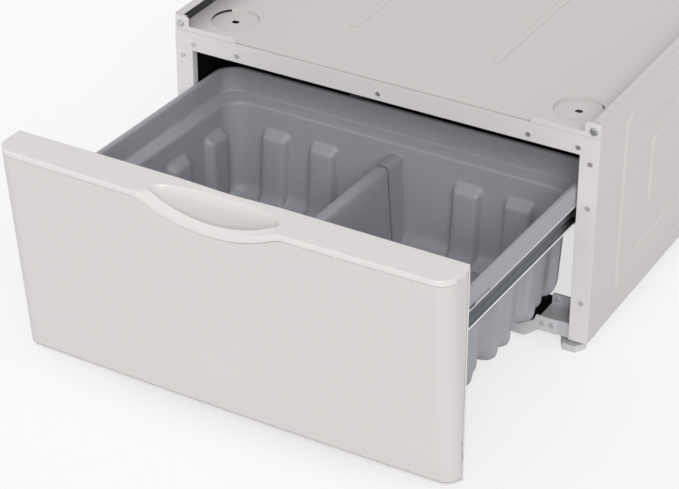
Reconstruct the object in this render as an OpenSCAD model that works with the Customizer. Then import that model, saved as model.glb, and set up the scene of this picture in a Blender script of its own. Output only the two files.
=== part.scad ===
// Laundry pedestal with one wide storage drawer, drawn open.
// X runs across, Y runs from the drawer front to the back, Z is up and the floor is Z = 0.
// The drawer and its runners are built in a frame that falls to the back by slope degrees,
// which is why the drawer rises a little as it opens and closes by itself.

/* [Cabinet] */
// Width of the cabinet
cabinet_w = 686; // [640:1:740]
// Depth of the cabinet behind the face frame
cabinet_d = 665; // [600:1:720]
// Height of the face frame
frame_h = 332; // [325:1:360]
// Height of the face frame above the floor
foot_h = 24; // [20:1:32]
// Rise of the side panels above the face frame
side_rise = 25; // [20:1:32]
// Thickness of the cabinet's sheet steel
sheet_t = 1.2; // [0.8:0.1:1.6]
// Width of the returns that stiffen the edges of the side panels
panel_return_w = 20; // [14:1:26]
// Bend radius at the edges of the side panels
bend_r = 2.5; // [1.7:0.1:4]

/* [Face frame] */
// Width of each stile
stile_w = 29; // [24:1:36]
// Height of the rail over the drawer opening
rail_h = 29.5; // [24:0.5:36]
// Depth of the returns round the drawer opening
frame_return_d = 12; // [8:1:14]
// Radius of the frame's upper corners
frame_corner_r = 4; // [1:0.5:8]

/* [Relief pressed into the side panels] */
// Height of the relief
relief_h = 2.5; // [1.5:0.1:4]
// Space between the relief and the edges of the panel
relief_margin = 88; // [60:1:110]
// Width of the raised band
band_w = 52; // [30:1:60]
// Distance from the band to the raised field in the middle
field_gap = 50; // [30:1:60]

/* [Drawer front] */
// Height of the drawer front
front_h = 331; // [320:1:345]
// Depth of the drawer front along its top
front_top_d = 60; // [50:1:70]
// Depth of the drawer front along its bottom
front_bottom_d = 28; // [24:1:36]
// Radius of its upright corners
front_corner_r = 24; // [12:1:26]
// Bow of its face from the middle to the corners
front_bow = 4; // [1:0.5:8]
// Space between the drawer front and the sides of the cabinet
front_side_gap = 1.5; // [0.5:0.5:6]
// Height of the drawer front above the bottom of the face frame when it is closed
front_low_gap = 2; // [1:0.5:6]
// Thickness of its outer sheet
skin_t = 1; // [0.8:0.1:1.5]
// Height of the handle cap's edge
cap_band_h = 9.5; // [7:0.5:14]
// Height of the bottom cap's edge
bottom_band_h = 4; // [3:0.5:10]
// Width of the folded strip along the back edges
hem_w = 4; // [2:0.5:8]

/* [Handle] */
// Middle of the handle, from the middle of the drawer front
handle_x = -6; // [-40:1:40]
// Half the width of the dip in the top edge
dip_half_w = 117; // [90:1:150]
// Depth of the dip
dip_h = 28; // [20:1:34]
// Radius of the dip's ends
dip_end_r = 43; // [30:1:60]
// Slope of the hollow from the lip up to the top
scoop_angle = 31; // [24:1:40]
// Half the length of the finger pocket
pocket_half_l = 100; // [70:1:110]
// Half the width of the finger pocket
pocket_half_w = 18; // [10:0.5:20]
// Depth of the finger pocket under the lip
pocket_drop = 3; // [0:0.5:12]
// Distance from the back of the drawer front to the pocket
pocket_back = 14; // [10:0.5:20]
// Wall of the handle cap and of the finger pocket
cap_t = 2.5; // [1.5:0.5:4]

/* [Runners] */
// Distance that the drawer travels
travel = 380; // [300:5:400]
// Fall of the runners to the back, in degrees
slope = 1.7; // [0:0.1:2.5]
// Height of the runners' centre line at the face frame
runner_z = 230; // [215:1:240]
// Length of a runner on the drawer
runner_l = 500; // [470:5:520]
// Thickness of the runners' steel
runner_t = 1.2; // [1:0.1:1.5]
// Height of the drawer runner
runner_h = 30; // [26:0.5:34]
// Height of the channel that is fixed to the cabinet
channel_h = 23; // [19:0.5:24]
// Width of the drawer runner's lower flange
lower_flange_w = 8.4; // [8:0.1:8.8]
// Length of the tab at the front of the drawer runner
tab_l = 115; // [80:5:150]
// Height of the tab above the drawer runner
tab_h = 5; // [4:0.5:7]
// Running clearance between the rollers and the steel
roller_gap = 0.3; // [0.2:0.05:0.6]
// Radius of the studs that the rollers turn on
stud_r = 2.5; // [2:0.25:3.5]
// Running clearance between a stud and its roller
stud_gap = 0.08; // [0.05:0.01:0.1]
// Gap between the closed drawer front and the face frame
closed_gap = 2.6; // [2.2:0.1:5]

/* [Bin] */
// Length of the bin
bin_l = 468; // [440:4:480]
// Space between the bin and each stile
bin_side_gap = 1.9; // [1.5:0.1:5]
// Height of the rim above the runners' centre line
rim_h = 44; // [38:1:60]
// Depth of the bin below the runners' centre line
bin_deep = 154; // [110:1:156]
// Wall of the bin
bin_t = 2.5; // [1.5:0.1:3.5]
// Radius of the upright corners at the rim
bin_corner_r = 38; // [34:1:56]
// Radius of the upright corners under the ledge
lower_corner_r = 36; // [32:1:50]
// Width of the rolled rim
rim_w = 8; // [6:0.5:9]
// Radius of the rim's outer shoulder
shoulder_r = 5.75; // [3:0.25:6]
// Height of the rim's skirt above the runners' centre line
skirt_z = 14.5; // [14.3:0.1:20]
// Distance from one gusset under the rim to the next
gusset_pitch = 52; // [40:1:80]
// Drop from the rim to the ledge
ledge_drop = 37; // [30:1:40]
// Fall of the ledge
ledge_h = 8; // [6:1:14]
// Width of the ledge
ledge_w = 16; // [12:0.5:18]
// Radius of the ledge's edges
ledge_r = 3; // [1.5:0.5:3.5]
// Draft of the walls under the ledge, in degrees
draft = 2.5; // [1:0.25:3.5]
// Radius between the walls and the floor
floor_r = 24; // [14:1:25]
// Depth of the pillars that stiffen the walls
pillar_d = 14; // [8:0.5:15]
// Drop from the ledge to the top of the pillars
pillar_drop = 30; // [16:1:40]
// Fall of a pillar's top from the wall to its face
pillar_fall = 15; // [6:1:20]
// Distance from one side pillar to the next
side_pitch = 101; // [96:1:104]
// Width of a side pillar
side_pillar_w = 52; // [40:1:58]
// Distance from the side walls to the middle of the outer back pillars
back_pillar_inset = 82; // [66:1:90]
// Distance from one back pillar to the next
back_pitch = 83; // [76:1:88]
// Width of a back pillar
back_pillar_w = 48; // [34:1:54]
// Distance from one floor rib to the next
rib_pitch = 38.5; // [34:0.5:48]
// Radius of a floor rib
rib_r = 12; // [10:0.5:15]
// Depth of a floor rib
rib_h = 6; // [4:0.5:8]
// Drop from the runners' centre line to the top of the divider
divider_drop = 18; // [10:1:60]
// Thickness of the divider at its top
divider_w = 20; // [14:1:28]

/* [Base] */
// Height of the corner brackets' plate above the bottom of the face frame
plate_lift = 23; // [16:1:28]
// Length of the corner brackets, from the sides inwards
bracket_l = 76; // [66:1:90]
// Depth of the corner brackets, front to back
bracket_d = 40; // [36:1:56]
// Height of the corner brackets' upstand
upstand_h = 17; // [12:1:24]
// Thickness of the brackets' and cross rails' steel
bracket_t = 2; // [1.5:0.1:3]
// Drop of the middle of the cross rails
rail_drop = 17; // [8:1:19]
// Height of the cross rails in the middle
rail_mid_h = 16; // [12:1:20]
// Inset of the feet from the sides of the cabinet
foot_inset = 30; // [27:1:40]
// Inset of the feet from the front and back of the cabinet
foot_setback = 23; // [22:1:28]
// Width of the hexagonal foot across its corners
foot_w = 40; // [30:1:42]
// Height of the hexagonal foot
foot_pad_h = 11; // [8:1:13]
// Radius of the foot's threaded stem
stem_r = 5; // [4:0.5:6]
// Height of the lock nut
lock_nut_h = 6; // [5:0.5:8]

/* [Top] */
// Length of the tie brackets above the face frame
tie_l = 104; // [80:1:130]
// Height of the tie brackets' strip
tie_strip_h = 8; // [6:1:12]
// Width of the tie brackets' ear
tie_ear_w = 23; // [18:1:30]
// Distance between the appliance bolt holes across the deck
bolt_x = 560; // [500:1:580]
// Distance between the appliance bolt holes front to back
bolt_y = 530; // [480:1:560]
// Radius of the appliance bolt holes
bolt_hole_r = 5.5; // [4.5:0.5:7]
// Radius of the recesses for the appliance's feet
recess_r = 36; // [24:1:40]
// Depth of the recesses for the appliance's feet
recess_h = 4; // [2:0.5:6]

/* [Fasteners] */
// Radius of the pan-head screws' heads
screw_head_r = 3.6; // [3:0.1:4.5]
// Height of the pan-head screws' heads
screw_head_h = 1.7; // [1.2:0.1:2]
// Radius of the screws' shanks
screw_r = 1.9; // [1.5:0.1:2.2]
// Width of the tie bolts' hexagonal head across its corners
bolt_head_w = 9.5; // [7:0.5:12]

/* [Hidden] */

$fn = 48;
eps = 0.01;
bottom_t = 2;
seat_gap = 0.05;

// Cabinet
hw = cabinet_w / 2;
frame_z1 = foot_h + frame_h;
side_z0 = foot_h + 2;
side_z1 = frame_z1 + side_rise;
side_y0 = sheet_t;
back_y = cabinet_d;
open_hw = hw - stile_w;
open_z1 = frame_z1 - rail_h;
deck_z = frame_z1 + sheet_t;
deck_x1 = hw - sheet_t - 0.2;

// Drawer front: it stands upright while the runners fall to the back
panel_y = -(travel * cos(slope) + closed_gap);
front_z0 = foot_h + front_low_gap + travel * sin(slope);
front_z1 = front_z0 + front_h;
front_hw = hw - front_side_gap;
front_lean = atan((front_top_d - front_bottom_d) / front_h);
front_y1 = panel_y - front_top_d;
cabinet_y = -(front_y1 + back_y + sheet_t + screw_head_h) / 2;

pocket_z0 = front_z1 - dip_h - pocket_drop;
panel_z0 = front_z0 + bottom_band_h;
panel_z1 = front_z1 - cap_band_h;

// Runners, in the falling frame: x across, y along the runner, z square to it
runner_y0 = panel_y / cos(slope) + 1;
runner_x1 = hw - stile_w - 1.9;
runner_x0 = runner_x1 - lower_flange_w;
channel_x1 = hw - stile_w + 1.9;
channel_x0 = runner_x0 + runner_t + 1;
front_roller_y = frame_return_d + 5;
front_roller_r = runner_h / 2 - runner_t - roller_gap;
rear_roller_r = channel_h / 2 - runner_t - roller_gap;
rear_roller_y = runner_y0 + runner_l - rear_roller_r - 2;
channel_y0 = frame_return_d + 0.6;
channel_y1 = rear_roller_y + travel + rear_roller_r + 6;
channel_flange_y0 = front_roller_y + front_roller_r + 1.5;
front_roller_x0 = runner_x0 + runner_t + 0.6;
front_roller_x1 = runner_x1 - runner_t - 0.6;
rear_roller_x0 = channel_x0 + 0.4;
rear_roller_x1 = channel_x1 - runner_t - 1.2;

// Bin, in the falling frame
bin_hw = open_hw - bin_side_gap;
bin_y0 = panel_y / cos(slope) + 0.5;
bin_y1 = bin_y0 + bin_l;
bin_mid_y = (bin_y0 + bin_y1) / 2;
wall_o = bin_t / 2 + rim_w;
wall_slope = 2;
ledge_z0 = rim_h - ledge_drop - ledge_h;
ledge_o = wall_o + (ledge_drop - 2) * tan(wall_slope);
lower_o = ledge_o + ledge_w;
floor_o = lower_o + (ledge_z0 + bin_deep - floor_r) * tan(draft);
pillar_z1 = ledge_z0 - pillar_drop;
pillar_taper = 4;
pillar_root = 1;
band_o = lower_corner_r + lower_o - 4;
groove_z0 = -bin_deep + floor_r + 6;

// Base
plate_z = foot_h + plate_lift;
base_x1 = hw - sheet_t - seat_gap;
base_y0 = sheet_t + 2 + bracket_t;
base_y1 = base_y0 + bracket_d;
base_x0 = hw - bracket_l;
rail_z0 = foot_h - 1.5;
foot_x = hw - foot_inset;
nut_z1 = foot_h + 1;

// Colours
white_paint = [0.84, 0.82, 0.81];
white_cap = [0.85, 0.83, 0.82];
panel_paint = [0.78, 0.76, 0.76];
bin_grey = [0.53, 0.54, 0.56];
zinc = [0.75, 0.76, 0.77];
bracket_grey = [0.62, 0.63, 0.64];
black = [0.06, 0.06, 0.06];
foot_grey = [0.68, 0.68, 0.69];

// ---- frames ----

module in_cabinet() {
    translate([0, cabinet_y, 0]) children();
}

module runner_frame() {
    translate([0, 0, runner_z]) rotate([-slope, 0, 0]) children();
}

module on_runner() {
    in_cabinet() runner_frame() children();
}

module left_side() {
    mirror([1, 0, 0]) children();
}

// Repeats its children at the back of the cabinet, facing the other way
module at_back() {
    translate([0, back_y, 0]) mirror([0, 1, 0]) children();
}

// ---- shared shapes ----

// A box from one corner to the other
module span(a, b) {
    translate(a) cube(b - a);
}

// A cylinder along X from x0 to x1
module rod_x(x0, x1, r) {
    translate([x0, 0, 0]) rotate([0, 90, 0]) cylinder(h = x1 - x0, r = r);
}

// A cylinder along Y from y0 to y1
module rod_y(y0, y1, r) {
    translate([0, y0, 0]) rotate([-90, 0, 0]) cylinder(h = y1 - y0, r = r);
}

// A flat rectangle with round corners
module round_rect(x0, y0, x1, y1, r) {
    union() {
        translate([x0 + r, y0]) square([x1 - x0 - 2 * r, y1 - y0]);
        translate([x0, y0 + r]) square([x1 - x0, y1 - y0 - 2 * r]);
        for (x = [x0 + r, x1 - r], y = [y0 + r, y1 - r]) translate([x, y]) circle(r = r);
    }
}

// Points of an arc
function arc(cx, cy, r, a0, a1, n) =
    [for (i = [0:n]) let (a = a0 + (a1 - a0) * i / n) [cx + r * cos(a), cy + r * sin(a)]];

// Points beside a path at distance d, with mitred corners
function unit(v) = v / norm(v);
function side_of(v) = [-v[1], v[0]];
function beside(path, d) = [
    for (i = [0:len(path) - 1])
    let (
        a = side_of(unit(path[max(i, 1)] - path[max(i, 1) - 1])),
        last = len(path) - 1,
        b = side_of(unit(path[min(i, last - 1) + 1] - path[min(i, last - 1)]))
    )
    path[i] + d * (a + b) / (1 + a * b)
];
function reversed(list) = [for (i = [len(list) - 1:-1:0]) list[i]];

// A sheet of thickness t that follows a path
module sheet_section(path, t) {
    polygon(concat(beside(path, t / 2), reversed(beside(path, -t / 2))));
}

// A section, drawn as distance inwards and height, swept round a rectangle with round corners
module swept_rim(x1, y0, y1, r) {
    mid_y = (y0 + y1) / 2;
    half = [x1, (y1 - y0) / 2];
    translate([0, mid_y, 0]) {
        for (side = [0:3]) {
            reach = side % 2 == 0 ? half[0] : half[1];
            run = side % 2 == 0 ? half[1] - r : half[0] - r;
            rotate([0, 0, 90 * side]) {
                translate([reach, run, 0]) rotate([90, 0, 0]) linear_extrude(2 * run)
                    mirror([1, 0]) children();
                translate([reach - r, run, 0]) rotate_extrude(angle = 90)
                    translate([r, 0]) mirror([1, 0]) children();
            }
        }
    }
}

// A pan-head screw that points along +Y, with its head's seat at the origin
module pan_screw(shank_l) {
    rod_y(-screw_head_h, 0, screw_head_r);
    rod_y(-eps, shank_l, screw_r);
}

// ---- cabinet ----

// One step of the pressed relief: a low frustum that faces +X
module relief_step(y0, z0, y1, z1, r, x0, x1, shrink) {
    hull() {
        for (k = [0, 1]) {
            s = k * shrink;
            translate([k == 0 ? x0 : x1 - 0.02, 0, 0]) rotate([90, 0, 90]) linear_extrude(0.02)
                round_rect(y0 + s, z0 + s, y1 - s, z1 - s, r - s, $fn = 24);
        }
    }
}

module relief_shape(outset) {
    m = relief_margin;
    g = relief_margin + band_w;
    f = g + field_gap;
    base = hw - eps - outset;
    top = hw + relief_h - outset;
    z0 = side_z0 + 34;
    z1 = side_z1 - 30;
    slant = 2 * relief_h;
    difference() {
        relief_step(m, z0, back_y - m, z1, 22, base, top, slant);
        mirror_step(g, z0 + 44, back_y - g, z1 - 44, 16, base, top + eps, slant);
    }
    relief_step(f, z0 + 96, back_y - f, z1 - 78, 14, base, top, slant);
}

// The same frustum with its wide end outwards, to be cut away
module mirror_step(y0, z0, y1, z1, r, x0, x1, shrink) {
    translate([x0 + x1, 0, 0]) mirror([1, 0, 0])
        relief_step(y0, z0, y1, z1, r, x0, x1, shrink);
}

module side_panel() {
    color(panel_paint) in_cabinet() {
        difference() {
            union() {
                translate([0, 0, side_z0]) linear_extrude(side_z1 - side_z0) difference() {
                    round_rect(hw - 2 * panel_return_w, side_y0, hw, back_y, bend_r);
                    round_rect(hw - 2 * panel_return_w, side_y0 + sheet_t, hw - sheet_t,
                        back_y - sheet_t, bend_r - sheet_t);
                    translate([hw - 2 * panel_return_w - eps, side_y0 - eps])
                        square([panel_return_w + eps, back_y]);
                }
                span([hw - panel_return_w, base_y1 + 2, side_z0],
                    [hw - sheet_t / 2, back_y - base_y1 - 2, side_z0 + sheet_t]);
                span([hw - panel_return_w * 0.7, side_y0 + bend_r, side_z1 - sheet_t],
                    [hw - sheet_t / 2, back_y - bend_r, side_z1]);
                relief_shape(0);
            }
            relief_shape(sheet_t);
            back_screw_places() rod_y(-20, 20, screw_r + 0.1);
        }
    }
}

module left_side_panel() left_side() side_panel();
module right_side_panel() side_panel();

module back_panel() {
    rib_x = hw / 2;
    color(panel_paint) in_cabinet() difference() {
        union() {
            span([-hw + 3, back_y, side_z0 + 2], [hw - 3, back_y + sheet_t, frame_z1]);
            for (x = [-rib_x, 0, rib_x])
                intersection() {
                    translate([x, back_y + sheet_t - 6, (side_z0 + frame_z1) / 2])
                        cylinder(h = frame_h - 90, r = 9, center = true);
                    span([x - 20, back_y + sheet_t / 2, 0], [x + 20, back_y + 20, frame_z1]);
                }
        }
        for (x = [-rib_x, 0, rib_x])
            translate([x, back_y + sheet_t - 6, (side_z0 + frame_z1) / 2])
                cylinder(h = frame_h - 90 - 2 * sheet_t, r = 9 - sheet_t, center = true);
        back_screw_places() rod_y(-20, 20, screw_r + 0.1);
    }
}

// Sheet that the appliance stands on, with a flange down behind the face frame
module top_deck() {
    x1 = deck_x1;
    y0 = side_y0 + bend_r + 0.3;
    y1 = back_y - bend_r - 0.3;
    flange_h = rail_h - 3;
    color(panel_paint) in_cabinet() difference() {
        union() {
            span([-x1, y0, deck_z - sheet_t], [x1, y1, deck_z]);
            span([-x1 + panel_return_w, y0, deck_z - flange_h], [x1 - panel_return_w, y0 + sheet_t, deck_z]);
            span([-x1 + panel_return_w, y1 - sheet_t, deck_z - flange_h],
                [x1 - panel_return_w, y1, deck_z]);
            for (s = [-1, 1])
                span([s > 0 ? x1 - sheet_t : -x1, y0, deck_z - sheet_t],
                    [s > 0 ? x1 : -x1 + sheet_t, y1, deck_z + side_rise * 0.55]);
            at_recesses() translate([0, 0, -recess_h - sheet_t])
                cylinder(h = recess_h + sheet_t, r = recess_r + sheet_t);
            for (s = [-1, 1]) deck_bead(s, 0);
        }
        at_recesses() translate([0, 0, -recess_h]) cylinder(h = recess_h + 1, r = recess_r);
        at_recesses() translate([0, 0, -recess_h - 2 * sheet_t])
            cylinder(h = recess_h + 3 * sheet_t, r = bolt_hole_r);
        for (s = [-1, 1]) deck_bead(s, sheet_t);
        deck_screw_places() rod_y(-1, sheet_t + 1, screw_r + 0.1);
    }
}

module at_recesses() {
    for (x = [-bolt_x / 2, bolt_x / 2], y = [-bolt_y / 2, bolt_y / 2])
        translate([x, back_y / 2 + y, deck_z]) children();
}

// Half-round bead that stiffens the deck, sunk below it
module deck_bead(s, inset) {
    translate([s * hw * 0.34, back_y / 2, deck_z + 4]) intersection() {
        rod_y(-back_y * 0.3 + inset, back_y * 0.3 - inset, 9 - inset);
        span([-20, -back_y, -20], [20, back_y, inset == 0 ? -4 : 0]);
    }
}

module face_frame() {
    color(white_paint) in_cabinet() difference() {
        union() {
            rotate([90, 0, 0]) mirror([0, 0, 1]) linear_extrude(sheet_t)
                round_rect(-hw, foot_h, hw, frame_z1, frame_corner_r);
            span([-hw, 0, foot_h], [-open_hw, sheet_t, foot_h + 2 * frame_corner_r]);
            span([open_hw, 0, foot_h], [hw, sheet_t, foot_h + 2 * frame_corner_r]);
            span([-open_hw - sheet_t, 0, foot_h + plate_lift + upstand_h + 6],
                [open_hw + sheet_t, frame_return_d, open_z1 + sheet_t]);
        }
        span([-open_hw, -1, foot_h - 1], [open_hw, frame_return_d + 1, open_z1]);
        face_frame_screw_places() rod_y(-1, sheet_t + 1, screw_r + 0.1);
    }
}

module face_frame_screw_places() {
    for (x = [-0.688, 0, 0.688]) translate([x * hw, 0, frame_z1 - rail_h * 0.62]) children();
    for (s = [-1, 1]) {
        translate([s * (hw - stile_w * 1.08), 0, frame_z1 - rail_h * 0.62]) children();
        for (h = [0.2, 0.67, 0.88]) translate([s * (hw - stile_w * 0.42), 0, foot_h + h * frame_h])
            children();
    }
}

module face_frame_screws() {
    color(zinc) in_cabinet() face_frame_screw_places() pan_screw(sheet_t);
}

// ---- base ----

// Front view of a cross rail: full height at both ends and dropped in the middle
function rail_outline() =
    let (x0 = base_x0 - 2, x1 = x0 - 22, drop_z = rail_z0 - rail_drop, end_x = foot_x - foot_w / 2)
    [
        [-end_x, rail_z0], [-x0, rail_z0], [-x1, drop_z], [x1, drop_z],
        [x0, rail_z0], [end_x, rail_z0], [end_x, plate_z],
        [x0 - 4, plate_z], [x0 - 8, plate_z - 10], [x1 - 12, drop_z + rail_mid_h],
        [-x1 + 12, drop_z + rail_mid_h], [-x0 + 8, plate_z - 10], [-x0 + 4, plate_z],
        [-end_x, plate_z]
    ];

module cross_rail() {
    y0 = sheet_t + 2;
    color(zinc) in_cabinet() difference() {
        translate([0, y0, 0]) rotate([90, 0, 0]) mirror([0, 0, 1])
            linear_extrude(bracket_t) polygon(rail_outline());
        bracket_screw_places(3) rod_y(-eps, 20, screw_r + 0.1);
    }
}

module front_cross_rail() cross_rail();

module rear_cross_rail() {
    color(zinc) in_cabinet() at_back() translate([0, -cabinet_y, 0]) cross_rail();
}

// Black plate that ties the two front corners together behind the cross rail
module front_base_brace() {
    x1 = base_x0 - 4;
    y0 = base_y0;
    color(black) in_cabinet() {
        span([-x1, y0, foot_h], [x1, y0 + 72, foot_h + bracket_t]);
        span([-x1, y0 + 72 - bracket_t, foot_h], [x1, y0 + 72, foot_h + 12]);
    }
}

// Bracket in the lower corner: a plate for the foot, a front flange and an upstand behind it
module corner_bracket() {
    y0 = base_y0;
    y1 = base_y1;
    color(bracket_grey) in_cabinet() difference() {
        union() {
            span([base_x0, y0, plate_z - bracket_t], [base_x1, y1, plate_z]);
            span([base_x0, y0, rail_z0], [base_x1, y0 + bracket_t, plate_z]);
            span([foot_x - foot_w / 2 - 2, y0, rail_z0], [base_x1, y1, rail_z0 + bracket_t]);
            span([base_x1 - bracket_t, y0, rail_z0], [base_x1, y1, plate_z]);
            rotate([90, 0, 0]) translate([0, 0, -y1]) linear_extrude(bracket_t) union() {
                translate([base_x0, plate_z - bracket_t])
                    square([base_x1 - base_x0, upstand_h - 4]);
                round_rect(base_x0, plate_z, base_x1, plate_z + upstand_h, 4);
            }
        }
        translate([foot_x, foot_setback, 0]) cylinder(h = 200, r = stem_r);
        bracket_screw_places(3) rod_y(-eps, 20, screw_r + 0.1);
        upstand_screw_places() rod_y(-20, 20, screw_r + 0.1);
    }
}

module bracket_screw_places(y) {
    for (s = [-1, 1], x = [4, 19]) translate([s * (base_x0 + x), y, foot_h + plate_lift / 2])
        children();
}

module upstand_screw_places() {
    y = base_y1 - bracket_t;
    for (s = [-1, 1], x = [9, 29]) translate([s * (base_x0 + x), y, plate_z + 7]) children();
}

module front_left_corner_bracket() left_side() corner_bracket();
module front_right_corner_bracket() corner_bracket();
module rear_right_corner_bracket() in_cabinet() at_back() translate([0, -cabinet_y, 0]) corner_bracket();
module rear_left_corner_bracket() left_side() rear_right_corner_bracket();

module corner_bracket_screws() {
    color(zinc) in_cabinet() {
        bracket_screw_places(sheet_t + 2) pan_screw(2 * bracket_t);
        upstand_screw_places() pan_screw(bracket_t);
        at_back() {
            bracket_screw_places(sheet_t + 2) pan_screw(2 * bracket_t);
            upstand_screw_places() pan_screw(bracket_t);
        }
    }
}

module foot() {
    pad_z1 = foot_pad_h;
    color(foot_grey) in_cabinet() translate([foot_x, foot_setback, 0]) {
        cylinder(h = pad_z1, r = foot_w / 2, $fn = 6);
        cylinder(h = plate_z + 10, r = stem_r - 0.06);
    }
}

module front_right_foot() foot();
module front_left_foot() left_side() foot();
module rear_right_foot() in_cabinet() at_back() translate([0, -cabinet_y, 0]) foot();
module rear_left_foot() left_side() rear_right_foot();

module foot_lock_nuts() {
    color(zinc) in_cabinet() for (s = [-1, 1], y = [foot_setback, back_y - foot_setback])
        translate([s * foot_x, y, rail_z0 - lock_nut_h]) difference() {
            cylinder(h = lock_nut_h, r = stem_r * 1.9, $fn = 6);
            translate([0, 0, -1]) cylinder(h = lock_nut_h + 2, r = stem_r);
        }
}

// ---- top ----

module tie_bracket() {
    color(white_paint) in_cabinet() difference() {
        union() {
            span([hw - 1 - tie_l, 0, frame_z1 + 0.4],
                [hw - 1, sheet_t, frame_z1 + tie_strip_h]);
            rotate([90, 0, 0]) mirror([0, 0, 1]) linear_extrude(sheet_t)
                round_rect(hw - 1 - tie_ear_w, frame_z1 + 0.4, hw - 1, side_z1 - 2, 3);
        }
        tie_bolt_places() rod_y(-1, sheet_t + 1, 3);
    }
}

module tie_bolt_places() {
    for (s = [-1, 1]) translate([s * (hw - 10), 0, frame_z1 + side_rise * 0.46]) children();
}

module left_tie_bracket() left_side() tie_bracket();
module right_tie_bracket() tie_bracket();

module tie_bolts() {
    color(zinc) in_cabinet() tie_bolt_places() {
        rotate([90, 0, 0]) cylinder(h = 3.4, r = bolt_head_w / 2, $fn = 6);
        rod_y(-1.2, 0, bolt_head_w / 2 + 1.2);
        rod_y(-eps, sheet_t, 2.9);
    }
}

module deck_screw_places() {
    for (s = [0, 1], y = [0.15, 0.5, 0.85]) mirror([s, 0, 0])
        translate([deck_x1 - sheet_t, back_y * y, deck_z + side_rise * 0.3])
            rotate([0, 0, -90]) children();
}

module deck_screws() {
    color(zinc) in_cabinet() deck_screw_places() pan_screw(sheet_t);
}

module back_screw_places() {
    for (s = [-1, 1], z = [0.08, 0.36, 0.64, 0.92])
        translate([s * (hw - panel_return_w / 2), back_y + sheet_t, foot_h + z * frame_h])
            children();
}

module back_panel_screws() {
    color(zinc) in_cabinet() back_screw_places() rotate([0, 0, 180]) pan_screw(2 * sheet_t);
}

// ---- runners ----

// Steel channel that carries a cabinet runner, from the face frame to the back panel
module runner_support() {
    h = channel_h / 2 + 8;
    y0 = side_y0 + bend_r + 0.9;
    y1 = back_y - bend_r - 1.5;
    x0 = channel_x1;
    x1 = hw - sheet_t - seat_gap;
    color(zinc) on_runner() difference() {
        span([x0, y0, -h], [x1, y1, h]);
        span([x0 + sheet_t, y0 - 20, -h + sheet_t], [x1 + 1, y1 + 20, h - sheet_t]);
        channel_screw_places() rod_x(x0 - 1, x0 + sheet_t + 1, screw_r + 0.1);
    }
}

module left_runner_support() left_side() runner_support();
module right_runner_support() runner_support();

// Channel on the cabinet: the drawer's rear roller runs in it, and it carries the front roller
module cabinet_runner() {
    h = channel_h / 2;
    color(zinc) on_runner() difference() {
        union() {
            span([channel_x1 - runner_t, channel_y0, -h], [channel_x1, channel_y1, h]);
            span([channel_x0, channel_flange_y0, -h], [channel_x1, channel_y1, -h + runner_t]);
            span([channel_x0, channel_flange_y0, h - runner_t], [channel_x1, channel_y1, h]);
            translate([0, front_roller_y, 0])
                rod_x(front_roller_x0 - 0.4, channel_x1 - runner_t + eps, stud_r);
        }
        channel_screw_places() rod_x(channel_x1 - runner_t - 1, channel_x1 + 1, screw_r + 0.1);
    }
}

module channel_screw_places() {
    for (k = [0.12, 0.5, 0.9]) translate([0, channel_y0 + k * (channel_y1 - channel_y0), 0])
        children();
}

module left_cabinet_runner() left_side() cabinet_runner();
module right_cabinet_runner() cabinet_runner();

module runner_screws() {
    color(zinc) on_runner() for (s = [0, 1]) mirror([s, 0, 0]) channel_screw_places()
        union() {
            rod_x(channel_x1 - runner_t - 0.6, channel_x1 - runner_t, screw_head_r);
            rod_x(channel_x1 - runner_t - eps, channel_x1 + sheet_t, screw_r);
        }
}

module roller(x0, x1, r) {
    difference() {
        rod_x(x0, x1, r);
        rod_x(x0 - 1, x1 + 1, stud_r + stud_gap);
    }
}

module front_roller() {
    color(black) on_runner() translate([0, front_roller_y, 0])
        roller(front_roller_x0, front_roller_x1, front_roller_r);
}

module left_front_roller() left_side() front_roller();
module right_front_roller() front_roller();

// Runner on the drawer: an open channel whose upper flange rides on the front roller.
// A tab with a slot stands on its front end, and a flange there is screwed to the drawer front.
module drawer_runner() {
    h = runner_h / 2;
    y1 = runner_y0 + runner_l;
    flange_x = runner_x1 - bin_t - 1;
    color(zinc) on_runner() difference() {
        union() {
            span([runner_x0, runner_y0, -h], [runner_x0 + runner_t, y1, h]);
            span([runner_x0, runner_y0, -h], [runner_x1, y1, -h + runner_t]);
            span([runner_x0, runner_y0, h - runner_t], [flange_x, y1, h]);
            span([runner_x0, runner_y0, h - runner_t], [runner_x1, runner_y0 + tab_l, h]);
            span([runner_x1 - runner_t, runner_y0, h - runner_t], [runner_x1, runner_y0 + tab_l, h + tab_h]);
            span([runner_x1 - runner_t, runner_y0, -h], [runner_x1, y1, -h + 2 * runner_t]);
            span([runner_x0 - 22, runner_y0, -h], [runner_x0 + runner_t, runner_y0 + runner_t, -h + 14]);
            translate([0, rear_roller_y, 0])
                rod_x(runner_x0 + runner_t - eps, rear_roller_x1 + 0.4, stud_r);
        }
        translate([0, runner_y0 + tab_l * 0.55, h + tab_h / 2 - 0.4]) slot_hole();
        runner_screw_places() rod_y(-20, 5, screw_r + 0.1);
    }
}

// Slot in the tab
module slot_hole() {
    for (y = [0, 14]) translate([0, y, 0]) rod_x(runner_x1 - runner_t - 1, runner_x1 + 1, 1.5);
    span([runner_x1 - runner_t - 1, 0, -1.5], [runner_x1 + 1, 14, 1.5]);
}

module left_drawer_runner() left_side() drawer_runner();
module right_drawer_runner() drawer_runner();

module rear_roller() {
    color(black) on_runner() translate([0, rear_roller_y, 0])
        roller(rear_roller_x0, rear_roller_x1, rear_roller_r);
}

module left_rear_roller() left_side() rear_roller();
module right_rear_roller() rear_roller();

// ---- bin ----

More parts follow.
